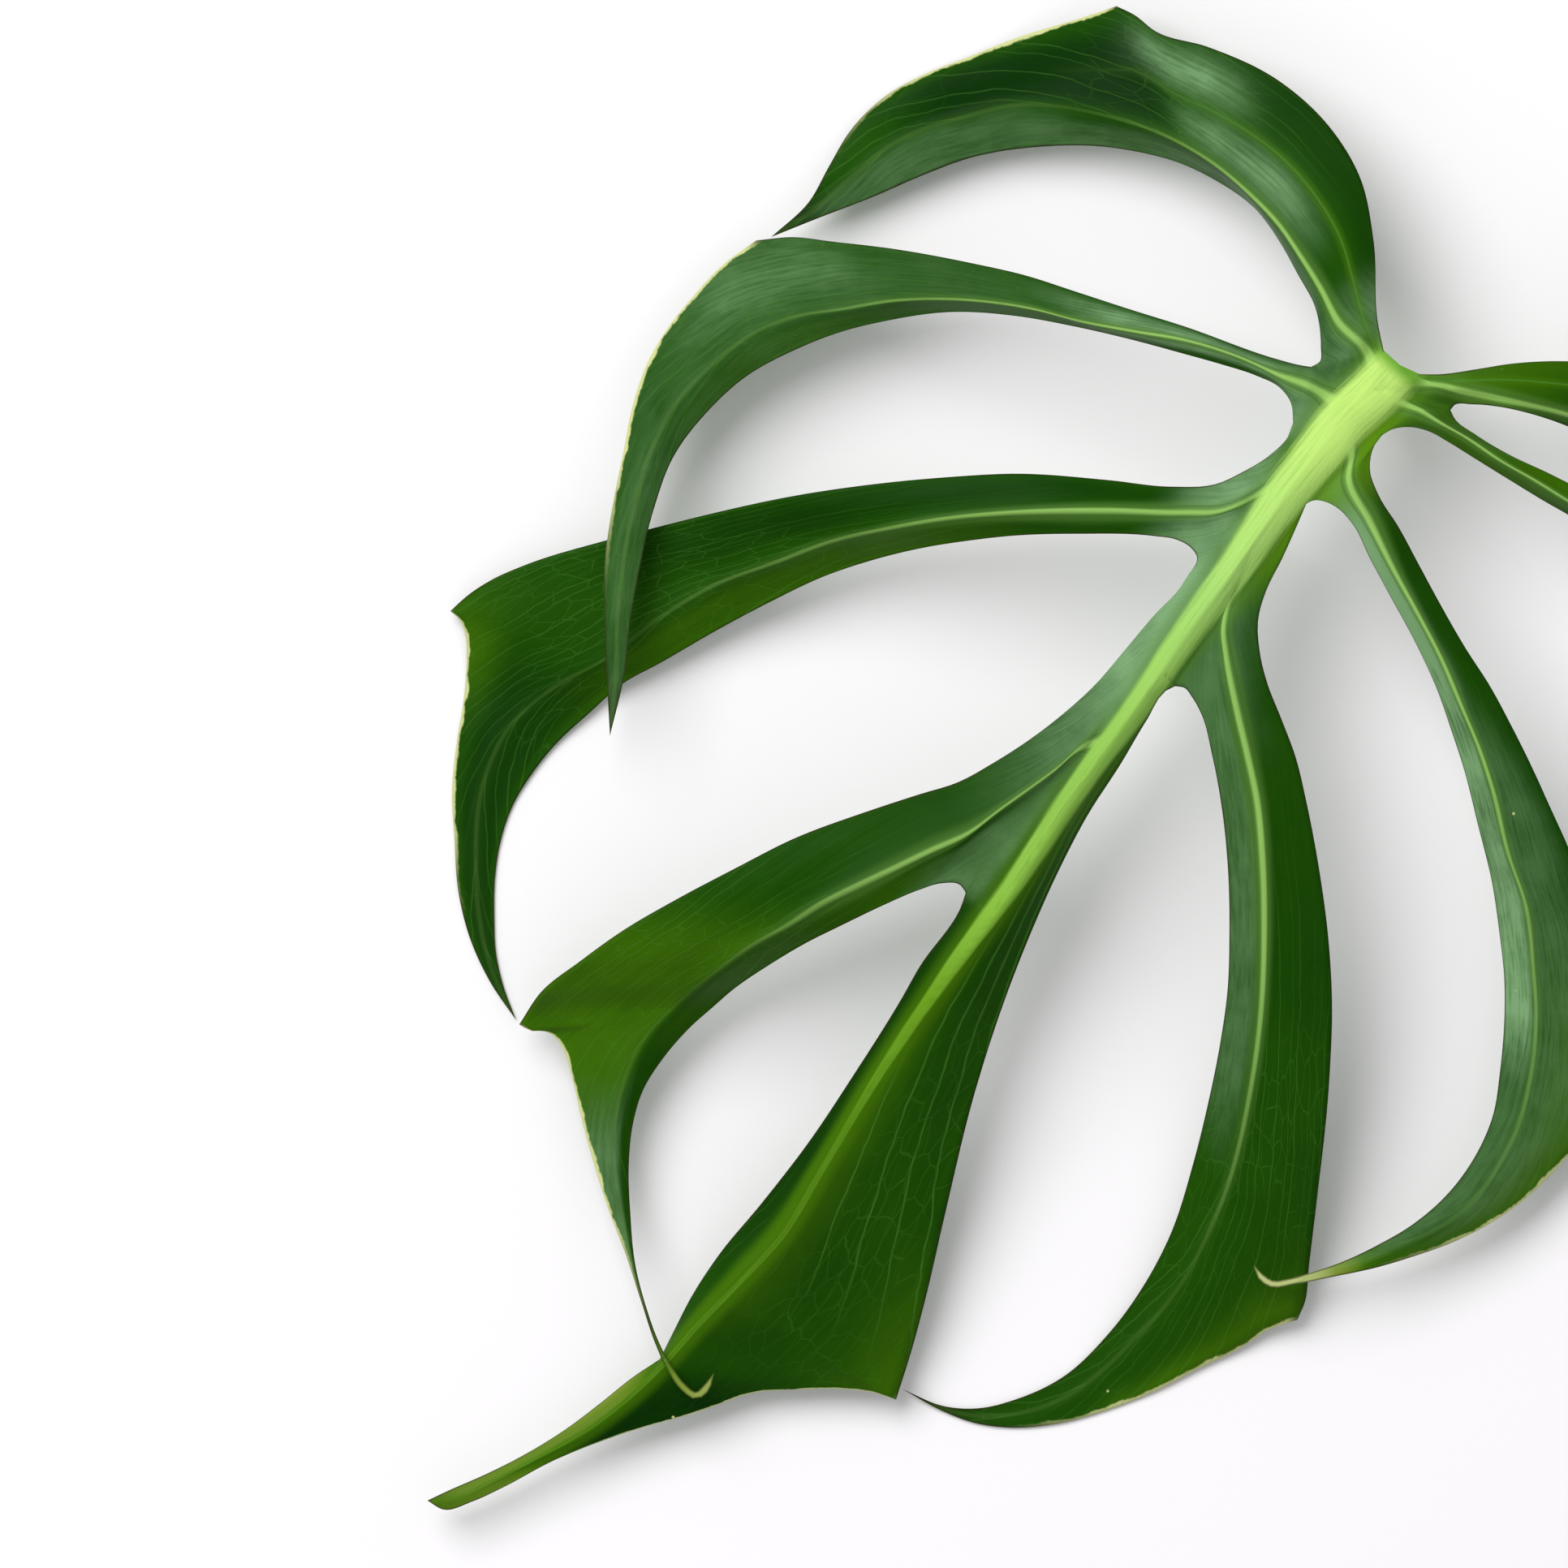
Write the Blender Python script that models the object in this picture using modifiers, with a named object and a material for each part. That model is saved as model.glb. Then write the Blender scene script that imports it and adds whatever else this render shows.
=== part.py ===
"""A picked monstera leaf, lying on a flat surface with its upper side up.

The leaf is one solid: a thin blade with four lobes a side and an end lobe, a midrib and one rib
under each lobe, and a short stub of the stalk under the base. It is modelled in its own frame:
the midrib runs along Y with the tip towards -Y, +Z is up, and the origin is on the surface,
in the middle of the leaf's outline.
"""
import math

import bmesh
import bpy
import numpy as np

LEAF_NAME = "monstera_leaf"

# Driving sizes, in metres.
MM = 0.001
MIDRIB_SPAN = 0.330
BLADE_THICKNESS = 0.7 * MM
MIDRIB_DEPTH = 5.0 * MM
RIB_DEPTH = 1.8 * MM
RIB_SPREAD = 4.0 * MM
STALK_RADIUS = 4.2 * MM
STALK_FOOT = 12.0 * MM
PRESSED_FLAT = 0.25 * MM

# The outlines were read off the photograph, in its pixels, x to the right and y down.
# These two points end the midrib. MIDRIB_SPAN is their real distance and sets the scale.
BLADE_BASE = (1722, 452)
BLADE_TIP = (527, 1848)
SCALE = MIDRIB_SPAN / math.dist(BLADE_BASE, BLADE_TIP)
# How far the straight part of the midrib leans from the picture's upright.
MIDRIB_LEAN = math.radians(35.8)

# Faces along each lobe: in the web beside the midrib, in the arm, and in the blunt end.
WEB_ROWS = 4
ARM_ROWS = 11
END_ROWS = 12


class Rail:
    """A smooth line through a few points, given as stretches that follow each other.

    A place on it is a number: 1.5 is half way along the second stretch.
    """

    STEPS = 10

    def __init__(self, start, *stretches, sharp=False):
        spots = [start]
        cuts = [0]
        for stretch in stretches:
            spots += stretch
            cuts.append(len(spots) - 1)
        spots = np.array(spots, float)
        steps = np.diff(spots, axis=0)
        chords = np.linalg.norm(steps, axis=1)
        ahead = steps / chords[:, None]
        corners = cuts[1:-1] if sharp else []
        line = [spots[0]]
        for i, chord in enumerate(chords):
            leave = self.heading(ahead, chords, i, i in corners, 0)
            arrive = self.heading(ahead, chords, i + 1, i + 1 in corners, -1)
            for step in range(1, self.STEPS + 1):
                line.append(hermite(step / self.STEPS, chord, spots[i], leave, spots[i + 1], arrive))
        self.line = np.array(line)
        pieces = np.linalg.norm(np.diff(self.line, axis=0), axis=1)
        self.reach = np.concatenate([[0.0], np.cumsum(pieces)])
        self.cuts = self.reach[[cut * self.STEPS for cut in cuts]]

    @staticmethod
    def heading(ahead, chords, i, corner, side):
        """The line's direction at point i. A corner has one direction on each side."""
        if i == 0:
            return ahead[0]
        if i == len(chords):
            return ahead[-1]
        if corner:
            return ahead[i + side]
        share = chords[i - 1] / (chords[i - 1] + chords[i])
        return ahead[i - 1] * (1 - share) + ahead[i] * share

    def at_length(self, length):
        return np.array([np.interp(length, self.reach, axis) for axis in self.line.T])

    def at(self, place):
        return self.at_length(np.interp(place, range(len(self.cuts)), self.cuts))

    def length_beside(self, spot):
        """The length at which the line passes closest to a spot."""
        steps = np.diff(self.line, axis=0)
        shares = ((spot - self.line[:-1]) * steps).sum(axis=1) / (steps**2).sum(axis=1)
        shares = np.clip(shares, 0, 1)
        closest = self.line[:-1] + steps * shares[:, None]
        i = int(np.argmin(np.linalg.norm(closest - spot, axis=1)))
        return mix(self.reach[i], self.reach[i + 1], shares[i])


def hermite(t, width, start, leave, end, arrive):
    """The cubic from start to end over a width, with the slopes leave and arrive."""
    return (
        (2 * t**3 - 3 * t**2 + 1) * start
        + (t**3 - 2 * t**2 + t) * width * leave
        + (3 * t**2 - 2 * t**3) * end
        + (t**3 - t**2) * width * arrive
    )


class Profile:
    """A smooth curve of heights over lengths that never swings past its given values."""

    def __init__(self, lengths, heights):
        self.lengths = np.array(lengths, float)
        self.heights = np.array(heights, float)
        slopes = np.diff(self.heights) / np.diff(self.lengths)
        products = slopes[:-1] * slopes[1:]
        totals = slopes[:-1] + slopes[1:]
        rising = products > 0
        inner = np.where(rising, 2 * products / np.where(rising, totals, 1), 0)
        self.turns = np.concatenate([slopes[:1], inner, slopes[-1:]])

    def at(self, length):
        length = float(np.clip(length, self.lengths[0], self.lengths[-1]))
        i = int(np.searchsorted(self.lengths, length, side="right")) - 1
        i = min(i, len(self.lengths) - 2)
        width = self.lengths[i + 1] - self.lengths[i]
        t = (length - self.lengths[i]) / width
        return hermite(t, width, self.heights[i], self.turns[i], self.heights[i + 1], self.turns[i + 1])


# The midrib from the base to the tip, and its height in millimetres at some lengths in pixels.
MIDRIB = Rail(
    BLADE_BASE,
    [(1690, 486), (1652, 522), (1622, 560), (1590, 600), (1520, 700), (1450, 796), (1407, 860),
     (1344, 946), (1312, 991), (1250, 1085), (1174, 1188), (1089, 1312), (1009, 1446),
     (967, 1522), (909, 1583), (852, 1642), (818, 1694), (735, 1752), (640, 1806),
     (600, 1827), (562, 1844), BLADE_TIP],
)
MIDRIB_HEIGHTS = Profile(
    [0, 80, 350, 840, 1200, 1420, 1520, 1600, 1900],
    [36, 38, 41, 37, 25, 16, 12.5, 10.5, 9],
)

# Stations along the midrib, which the lobes of both sides share: their numbers and lengths.
STATION_NUMBERS = [0, 5, 8, 10, 14, 17, 21, 24, 31, 43, 52, 53]
BEFORE_TIP = 32
STATION_LENGTHS = [0, 36, 60, 84, 136, 196, 350, 480, 840, 1420, MIDRIB.reach[-1] - BEFORE_TIP,
                   MIDRIB.reach[-1]]

# The bottoms of the gaps between the lobes, with their heights in millimetres.
BASE_LEFT = (1702, 434, 35)
GAP_L1 = (1613, 454, 34)
GAP_L2 = (1591, 522, 35.5)
GAP_L3 = (1471, 697, 38)
GAP_L4 = (1189, 1099, 35)
BASE_RIGHT = (1746, 463, 35)
GAP_R1 = (1784, 507, 32)
GAP_R2 = (1700, 538, 36)
GAP_R3 = (1607, 622, 38)
GAP_R4 = (1446, 846, 38.5)


class Lobe:
    """One side lobe: a strip from its edge towards the base, over its vein, to its far edge.

    Places run from 0 on the midrib over 1 at the gap bottoms and 2 at the corner of the blunt
    end to 3 at the tip. Each edge is an arm and an end. The vein also has a root in the web.
    """

    def __init__(self, stations, gaps, near, vein, far, root_height, heights):
        self.first, self.vein_station, self.last = stations
        near_gap, far_gap = gaps
        tip = near[-1][-1]
        self.columns = self.last - self.first
        self.near = Rail(near_gap[:2], *near, sharp=True)
        self.vein = Rail(midrib_at(self.vein_station), vein[0], vein[1], vein[2] + [tip])
        self.far = Rail(far_gap[:2], far[0], far[1] + [tip])
        places = [1] + [row[0] for row in heights]
        lengths = [self.vein_length(place) for place in places]
        self.near_height = Profile(lengths, [near_gap[2]] + [row[1] for row in heights])
        self.vein_height = Profile(lengths, [root_height] + [row[2] for row in heights])
        self.far_height = Profile(lengths, [far_gap[2]] + [row[3] for row in heights])

    def vein_length(self, place):
        return np.interp(place, range(4), self.vein.cuts)

    def spot_on(self, rail, place):
        """Where a row meets a rail. A rail longer than the others spends its extra length early.

        Towards the tip the rows turn square to the vein.
        """
        stretch = int(min(max(place, 1.0), 2.9999))
        begin, end = rail.cuts[stretch - 4], rail.cuts[stretch - 3]
        shortest = min(other.cuts[stretch - 3] - other.cuts[stretch - 4]
                       for other in (self.near, self.vein, self.far))
        left = min(max(stretch + 1 - place, 0.0), 1.0)
        extra = end - begin - shortest
        length = end - shortest * left - extra * left**3
        if rail is not self.vein:
            square = min(max((place - 2.2) / 0.3, 0.0), 1.0)
            length = mix(length, rail.length_beside(self.spot_on(self.vein, place)), square)
        return rail.at_length(length)

    def vein_spot(self, place):
        """The vein's place, which runs midway between the edges where the tip is narrow."""
        if place < 1:
            return self.vein.at(place)
        narrow = min(max((place - 2.4) / 0.3, 0.0), 1.0)
        between = (self.spot_on(self.near, place) + self.spot_on(self.far, place)) / 2
        return mix(self.spot_on(self.vein, place), between, narrow)

    def point(self, column, place):
        """A point of the lobe's upper side: x and y in pixels, the height in millimetres."""
        station = self.first + column
        inside_near = station < self.vein_station
        border = self.first if inside_near else self.last
        edge = self.near if inside_near else self.far
        profile = self.near_height if inside_near else self.far_height
        across = (station - border) / (self.vein_station - border)
        share = min(place, 1.0)
        length = self.vein_length(place)
        edge_spot = mix(midrib_at(border), self.spot_on(edge, place), share)
        edge_height = mix(midrib_height(border), profile.at(length), share)
        vein_height = mix(midrib_height(self.vein_station), self.vein_height.at(length), share)
        foot = mix(midrib_at(border), midrib_at(self.vein_station), across)
        foot_height = mix(midrib_height(border), midrib_height(self.vein_station), across)
        swell = mix(across, math.sin(across * math.pi / 2), share)
        vein_spot = self.vein_spot(place)
        spot = mix(edge_spot, vein_spot, across)
        spot = spot + (midrib_at(station) - foot) * (1 - share)
        steepest = roof_rise(math.dist(edge_spot, vein_spot))
        rise = min(max(vein_height - edge_height, -steepest), steepest)
        if place >= 1:
            edge_height = vein_height - rise
        height = mix(edge_height, vein_height, swell)
        height += (midrib_height(station) - foot_height) * (1 - share)
        return spot[0], spot[1], height

    def rib(self, column, place):
        """Depth of the rib under the vein, from 0 to 1: slighter where the lobe is slender."""
        if self.first + column != self.vein_station:
            return 0.0
        spot = self.vein_spot(place)
        beside = min(math.dist(spot, self.spot_on(edge, place)) for edge in (self.near, self.far))
        return max(0.0, 1 - place / 2.5) * min(beside * SCALE / RIB_SPREAD, 1.0)


class EndLobe:
    """One half of the end lobe: a strip from the midrib out to the leaf's edge."""

    def __init__(self, start, turn, gap, edge, heights):
        self.start = start
        self.turn = turn
        self.gap = gap
        self.edge = Rail(gap[:2], *edge, sharp=True)
        places, values = zip(*heights)
        lengths = np.interp(places, [0, 1, 2], self.edge.cuts)
        self.edge_height = Profile([0, *lengths], [gap[2], *values])

    def point(self, across, station):
        """A point of the upper side, across from 0 on the midrib to 1 on the edge."""
        marks = [midrib_length(mark) for mark in (self.start, self.turn, STATION_NUMBERS[-1])]
        place = np.interp(midrib_length(station), marks, [0, 1, 2])
        length = np.interp(place, [0, 1, 2], self.edge.cuts)
        spot = mix(midrib_at(station), self.edge.at(place), across)
        swell = 1 - math.sin((1 - across) * math.pi / 2)
        started = min((station - self.start) / 4, 1.0)
        height = mix(midrib_height(station), self.edge_height.at(length), mix(across, swell, started))
        return spot[0], spot[1], height


def mix(start, end, share):
    return start + (end - start) * share


def roof_rise(width):
    """The most that a vein stands above an edge that many pixels away, in millimetres."""
    width = width * SCALE / MM
    return width * min(0.15 * width, 0.9)


def midrib_length(station):
    return np.interp(station, STATION_NUMBERS, STATION_LENGTHS)


def midrib_at(station):
    return MIDRIB.at_length(midrib_length(station))


def midrib_height(station):
    return MIDRIB_HEIGHTS.at(midrib_length(station))


def left_lobes():
    """The four lobes left of the midrib, from the base on."""
    first = Lobe(
        stations=(0, 5, 8),
        gaps=(BASE_LEFT, GAP_L1),
        near=([(1695, 400), (1690, 300), (1673, 220), (1637, 160), (1571, 100), (1487, 60),
               (1422, 40), (1397, 20), (1375, 9)],
              [(1345, 19), (1250, 48), (1189, 72), (1136, 93), (1093, 117), (1050, 158),
               (1021, 206), (997, 249), (950, 293)]),
        vein=([(1682, 436)],
              [(1647, 400), (1625, 360), (1600, 320), (1573, 280), (1535, 240), (1487, 200),
               (1412, 160)],
              [(1360, 144), (1307, 133), (1247, 131), (1170, 153), (1098, 180), (1030, 222)]),
        far=([(1624, 447), (1625, 430), (1618, 380), (1597, 340), (1575, 300), (1548, 262),
              (1490, 220), (1452, 202)],
             [(1400, 188), (1350, 181), (1293, 181), (1193, 196), (1141, 215), (1074, 244),
              (1007, 270)]),
        root_height=36,
        heights=[(1.25, 30, 33.5, 31), (1.6, 24, 27.5, 23), (2, 14, 20, 15),
                 (2.35, 0.8, 12, 9), (2.6, 0.8, 10, 8.5), (2.85, 7, 9.5, 9), (3, 10.5, 10.5, 10.5)],
    )
    second = Lobe(
        stations=(8, 11, 14),
        gaps=(GAP_L1, GAP_L2),
        near=([(1600, 452), (1573, 445), (1457, 404), (1387, 382), (1326, 362), (1261, 341),
               (1200, 327), (1098, 308), (1026, 299), (975, 293), (932, 297)],
              [(892, 326), (854, 366), (825, 402), (797, 450), (780, 500), (768, 560),
               (756, 620), (747, 680), (745, 768), (748, 835), (752, 907)]),
        vein=([(1609, 477)],
              [(1573, 464), (1527, 443), (1461, 422), (1396, 411), (1331, 399), (1270, 383),
               (1170, 371), (1098, 373), (1036, 383)],
              [(978, 392), (930, 411), (880, 448), (830, 502), (806, 550), (784, 620),
               (768, 720), (760, 820)]),
        far=([(1588, 498), (1575, 480), (1546, 465), (1503, 451), (1457, 438),
              (1387, 419), (1317, 403), (1250, 391), (1170, 386), (1090, 397)],
             [(1040, 409), (978, 433), (918, 466), (873, 507), (830, 564), (806, 628),
              (787, 710), (777, 768), (770, 830)]),
        root_height=36.5,
        heights=[(1.3, 32, 35, 33), (1.65, 26, 31, 28), (2, 8, 23, 20), (2.3, 10, 22, 19.5),
                 (2.6, 18, 22, 20.5), (2.8, 20, 21, 20.5), (3, 19.5, 19.5, 19.5)],
    )
    third = Lobe(
        stations=(14, 17, 21),
        gaps=(GAP_L2, GAP_L3),
        near=([(1585, 539), (1564, 561), (1527, 584), (1499, 597), (1441, 601), (1365, 593),
               (1250, 585), (1170, 589), (1074, 598), (978, 612), (883, 632), (806, 651),
               (744, 667), (643, 698), (605, 715), (576, 734), (555, 753)],
              [(566, 763), (574, 785), (575, 808), (571, 866), (563, 914), (557, 982),
               (560, 1032), (564, 1094), (579, 1156), (604, 1210), (636, 1257)]),
        vein=([(1562, 604)],
              [(1527, 623), (1499, 633), (1460, 634), (1365, 630), (1250, 632), (1170, 639),
               (1098, 651), (1026, 667), (954, 694), (883, 720), (811, 763), (749, 810)],
              [(690, 843), (657, 866), (628, 895), (604, 940), (589, 990), (585, 1032), (590, 1100),
               (603, 1170)]),
        far=([(1473, 689), (1466, 677), (1447, 666), (1422, 662), (1326, 659), (1250, 661),
              (1194, 667), (1131, 677), (1074, 691), (1017, 710), (945, 744), (883, 777),
              (812, 818)],
             [(768, 842), (728, 877), (682, 920), (653, 957), (633, 990), (616, 1040), (610, 1081), (609, 1131),
              (611, 1173), (620, 1214)]),
        root_height=38.5,
        heights=[(1.2, 34, 37, 35.5), (1.45, 26, 30, 27.5), (1.62, 14, 19, 17),
                 (1.8, 8, 12, 10.5), (2, 3, 7, 6), (2.2, 0.7, 2.2, 2), (2.45, 0.7, 0.7, 0.7), (3, 0.7, 0.7, 0.7)],
    )
    fourth = Lobe(
        stations=(21, 26, 31),
        gaps=(GAP_L3, GAP_L4),
        near=([(1463, 708), (1451, 727), (1422, 757), (1384, 802), (1348, 844), (1312, 877),
               (1268, 911), (1223, 940), (1179, 964), (1134, 978), (1067, 1000), (978, 1033),
               (907, 1069), (835, 1107), (768, 1146), (715, 1184), (667, 1222), (640, 1262)],
              [(655, 1270), (670, 1270), (684, 1277), (695, 1295), (705, 1327), (717, 1379),
               (731, 1430), (750, 1490), (772, 1547), (790, 1602), (809, 1658), (823, 1688),
               (840, 1712), (858, 1723), (873, 1713), (880, 1690)]),
        vein=([(1338, 918)],
              [(1300, 948), (1230, 999), (1192, 1028), (1148, 1048), (1103, 1069), (1059, 1089),
               (1014, 1111), (969, 1140), (925, 1165), (880, 1198), (829, 1241)],
              [(789, 1287), (766, 1344), (755, 1400), (757, 1450), (768, 1520), (786, 1590), (812, 1660),
               (827, 1689), (842, 1709), (858, 1719), (870, 1710)]),
        far=([(1182, 1090), (1159, 1088), (1132, 1096), (1092, 1113), (1036, 1140), (992, 1162),
              (947, 1189), (902, 1220), (878, 1241)],
             [(852, 1264), (817, 1304), (792, 1344), (780, 1385), (775, 1436), (777, 1495),
              (783, 1557), (796, 1608), (816, 1661), (831, 1687), (845, 1705), (858, 1714), (867, 1706)]),
        root_height=38.5,
        heights=[(1.3, 35, 37, 34), (1.6, 28, 31, 27), (1.85, 17, 23, 19), (2, 8, 17, 14),
                 (2.15, 9, 14.5, 12), (2.4, 11, 13, 11.5), (2.7, 13, 13.5, 13),
                 (2.85, 14.5, 14.5, 14.5), (3, 14.5, 14.5, 14.5)],
    )
    return [first, second, third, fourth]


def right_lobes():
    """The four lobes right of the midrib, from the base on. The first two are half out of view."""
    first = Lobe(
        stations=(0, 3, 5),
        gaps=(BASE_RIGHT, GAP_R1),
        near=([(1772, 463), (1815, 457), (1859, 450), (1902, 447), (1932, 447), (1998, 450),
               (2070, 464), (2140, 490), (2200, 530), (2246, 580)],
              [(2282, 640), (2304, 715), (2302, 790), (2284, 845), (2258, 886)]),
        vein=([(1764, 475)],
              [(1789, 482), (1831, 490), (1872, 499), (1932, 514), (1990, 535), (2050, 566),
               (2100, 603)],
              [(2160, 672), (2200, 735), (2228, 795), (2246, 850)]),
        far=([(1789, 501), (1810, 500), (1837, 502), (1881, 511), (1932, 528), (1985, 553),
              (2040, 592), (2066, 616)],
             [(2090, 642), (2132, 700), (2170, 752), (2205, 805), (2235, 852)]),
        root_height=35.5,
        heights=[(1.25, 32, 34, 31.5), (1.6, 24, 27, 24), (2, 10, 14, 12), (2.3, 3, 8, 7),
                 (2.6, 0.7, 3, 4), (2.85, 0.7, 1.5, 2), (3, 1.5, 1.5, 1.5)],
    )
    second = Lobe(
        stations=(5, 8, 10),
        gaps=(GAP_R1, GAP_R2),
        near=([(1789, 517), (1815, 537), (1859, 563), (1902, 583), (1932, 598), (1990, 628),
               (2050, 665), (2110, 712), (2165, 768), (2215, 835), (2252, 905)],
              [(2264, 960), (2257, 1020), (2232, 1075), (2190, 1125), (2130, 1168),
               (2060, 1195)]),
        vein=([(1744, 503)],
              [(1775, 524), (1803, 540), (1844, 568), (1886, 592), (1932, 620), (1990, 652),
               (2050, 695), (2110, 755), (2155, 820)],
              [(2182, 890), (2193, 960), (2188, 1030), (2165, 1090), (2120, 1145)]),
        far=([(1712, 531), (1735, 528), (1757, 533), (1781, 546), (1815, 567), (1859, 594),
              (1902, 620), (1932, 637), (1985, 675), (2040, 725), (2088, 785), (2112, 828)],
             [(2140, 915), (2145, 980), (2138, 1045), (2115, 1105), (2085, 1155)]),
        root_height=36,
        heights=[(1.3, 31, 33.5, 31), (1.65, 22, 26, 22), (2, 8, 13, 11), (2.3, 1.5, 6, 5),
                 (2.6, 0.7, 1.5, 1.2), (2.8, 0.7, 0.7, 0.7), (3, 0.7, 0.7, 0.7)],
    )
    third = Lobe(
        stations=(10, 14, 17),
        gaps=(GAP_R2, GAP_R3),
        near=([(1690, 552), (1685, 580), (1696, 612), (1720, 650), (1746, 698), (1772, 746),
               (1802, 798), (1833, 846), (1859, 894), (1885, 946), (1907, 994), (1928, 1040),
               (1955, 1105), (1978, 1170), (1995, 1235), (2003, 1290)],
              [(1990, 1345), (1965, 1392), (1932, 1423), (1907, 1450), (1873, 1481),
               (1835, 1507), (1787, 1531), (1739, 1548), (1691, 1562), (1643, 1572),
               (1596, 1581), (1562, 1584), (1550, 1575), (1544, 1558)]),
        vein=([(1659, 588)],
              [(1685, 646), (1711, 698), (1742, 754), (1772, 811), (1798, 872), (1820, 924),
               (1837, 976), (1855, 1050), (1878, 1117), (1887, 1189)],
              [(1891, 1260), (1885, 1323), (1868, 1390), (1835, 1450), (1787, 1502), (1730, 1532),
               (1660, 1556), (1600, 1575), (1562, 1580)]),
        far=([(1616, 618), (1628, 619), (1646, 628), (1663, 646), (1685, 689), (1711, 737), (1742, 794),
              (1768, 850), (1785, 898), (1802, 950), (1818, 1013), (1837, 1090), (1846, 1150)],
             [(1852, 1205), (1852, 1261), (1847, 1320), (1838, 1375), (1817, 1423),
              (1782, 1471), (1738, 1509), (1697, 1533), (1655, 1553), (1615, 1567), (1586, 1575), (1567, 1577), (1556, 1570)]),
        root_height=37.5,
        heights=[(1.25, 33, 36, 34), (1.6, 25, 30, 27), (1.85, 17, 23, 21), (2, 11, 18, 16),
                 (2.3, 9, 14, 12), (2.6, 10.5, 13, 12), (2.85, 12.5, 13, 12.5),
                 (3, 14, 14, 14)],
    )
    fourth = Lobe(
        stations=(17, 20, 24),
        gaps=(GAP_R3, GAP_R4),
        near=([(1598, 643), (1577, 690), (1558, 728), (1548, 763), (1550, 805),
               (1559, 842), (1576, 885), (1594, 933), (1607, 987), (1623, 1071), (1634, 1152),
               (1639, 1232), (1636, 1330), (1621, 1481), (1612, 1560), (1607, 1605),
               (1598, 1626)],
              [(1567, 1636), (1528, 1661), (1477, 1686), (1421, 1715), (1365, 1737),
               (1303, 1754), (1247, 1759), (1200, 1753), (1160, 1738), (1111, 1711)]),
        vein=([(1527, 712)],
              [(1511, 742), (1504, 768), (1507, 807), (1520, 872), (1533, 924), (1546, 981), (1554, 1062),
               (1556, 1152), (1552, 1248), (1540, 1340), (1507, 1475)],
              [(1488, 1520), (1455, 1582), (1399, 1648), (1320, 1708), (1250, 1738), (1180, 1741)]),
        far=([(1457, 848), (1467, 860), (1478, 880), (1491, 929), (1504, 1000), (1511, 1071),
              (1513, 1152), (1511, 1219), (1502, 1286), (1487, 1362), (1470, 1432)],
             [(1440, 1525), (1410, 1582), (1365, 1644), (1309, 1697), (1252, 1724), (1207, 1735),
              (1165, 1733)]),
        root_height=39,
        heights=[(1.3, 34, 37, 35), (1.6, 24, 29, 26), (1.85, 12, 17, 15), (2, 4.5, 9, 8),
                 (2.25, 0.9, 3.5, 4), (2.5, 0.7, 1, 1), (2.7, 0.7, 0.7, 0.7),
                 (2.85, 0.7, 0.7, 0.7), (3, 2, 2, 2)],
    )
    return [first, second, third, fourth]


def end_lobe_halves():
    """The left and the right half of the end lobe, which the midrib parts."""
    left = EndLobe(
        start=31,
        turn=46,
        gap=GAP_L4,
        edge=([(1185, 1112), (1132, 1191), (1110, 1230), (1053, 1321), (995, 1408), (938, 1482),
               (886, 1545), (852, 1597), (830, 1640), (813, 1674)],
              [(780, 1696), (740, 1728), (696, 1761), (640, 1795), (600, 1815), (550, 1837),
               BLADE_TIP]),
        heights=[(0.5, 22), (0.8, 13), (1, 9.5), (1.5, 9.3), (1.85, 9.2), (2, 9)],
    )
    right = EndLobe(
        start=24,
        turn=43,
        gap=GAP_R4,
        edge=([(1437, 850), (1411, 888), (1379, 942), (1339, 1004), (1304, 1071), (1268, 1152),
               (1237, 1232), (1201, 1344), (1163, 1500), (1140, 1600), (1124, 1660),
               (1104, 1724)],
              [(1080, 1716), (1040, 1711), (970, 1712), (936, 1714), (860, 1739), (770, 1765),
               (680, 1800), (620, 1832), (583, 1849), (546, 1859), BLADE_TIP]),
        heights=[(0.3, 30), (0.6, 20), (0.85, 11), (1, 6.5), (1.3, 7.6), (1.7, 9.4), (1.9, 9.3), (2, 9)],
    )
    return [left, right]


def leaf_frame(spot_x, spot_y, height):
    """From picture pixels and a height in millimetres to metres in the leaf's own frame."""
    right = (spot_x - BLADE_BASE[0]) * SCALE
    up = (BLADE_BASE[1] - spot_y) * SCALE
    cos, sin = math.cos(MIDRIB_LEAN), math.sin(MIDRIB_LEAN)
    return right * cos - up * sin, right * sin + up * cos, height * MM


def row_places():
    """Places of a lobe's rows, closer together where the edges leave the gap bottoms."""
    web = [row / WEB_ROWS for row in range(WEB_ROWS)]
    arm = [1 + (row / ARM_ROWS) ** 1.35 for row in range(ARM_ROWS)]
    end = [2 + row / END_ROWS for row in range(END_ROWS + 1)]
    return web + arm + end


def lay_grid(bm, keel, columns, rows, place_point):
    """A flat grid of faces, each corner moved to its place on the leaf."""
    grid = bmesh.ops.create_grid(bm, x_segments=columns, y_segments=rows, size=0.5)
    for vert in grid["verts"]:
        column = round((vert.co.x + 0.5) * columns)
        row = round((vert.co.y + 0.5) * rows)
        vert.co, vert[keel] = place_point(column, row)


def lay_lobe(bm, keel, lobe):
    places = row_places()

    def place_point(column, row):
        point = leaf_frame(*lobe.point(column, places[row]))
        depth = RIB_DEPTH * lobe.rib(column, places[row])
        if row == 0:
            depth = midrib_keel(lobe.first + column)
        return point, depth

    lay_grid(bm, keel, lobe.columns, len(places) - 1, place_point)


def lay_end_lobe(bm, keel, half):
    rows = STATION_NUMBERS[-1] - half.start

    def place_point(column, row):
        station = half.start + row
        depth = midrib_keel(station) if column == 0 else 0.0
        return leaf_frame(*half.point(column / WEB_ROWS, station)), depth

    lay_grid(bm, keel, WEB_ROWS, rows, place_point)


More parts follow.
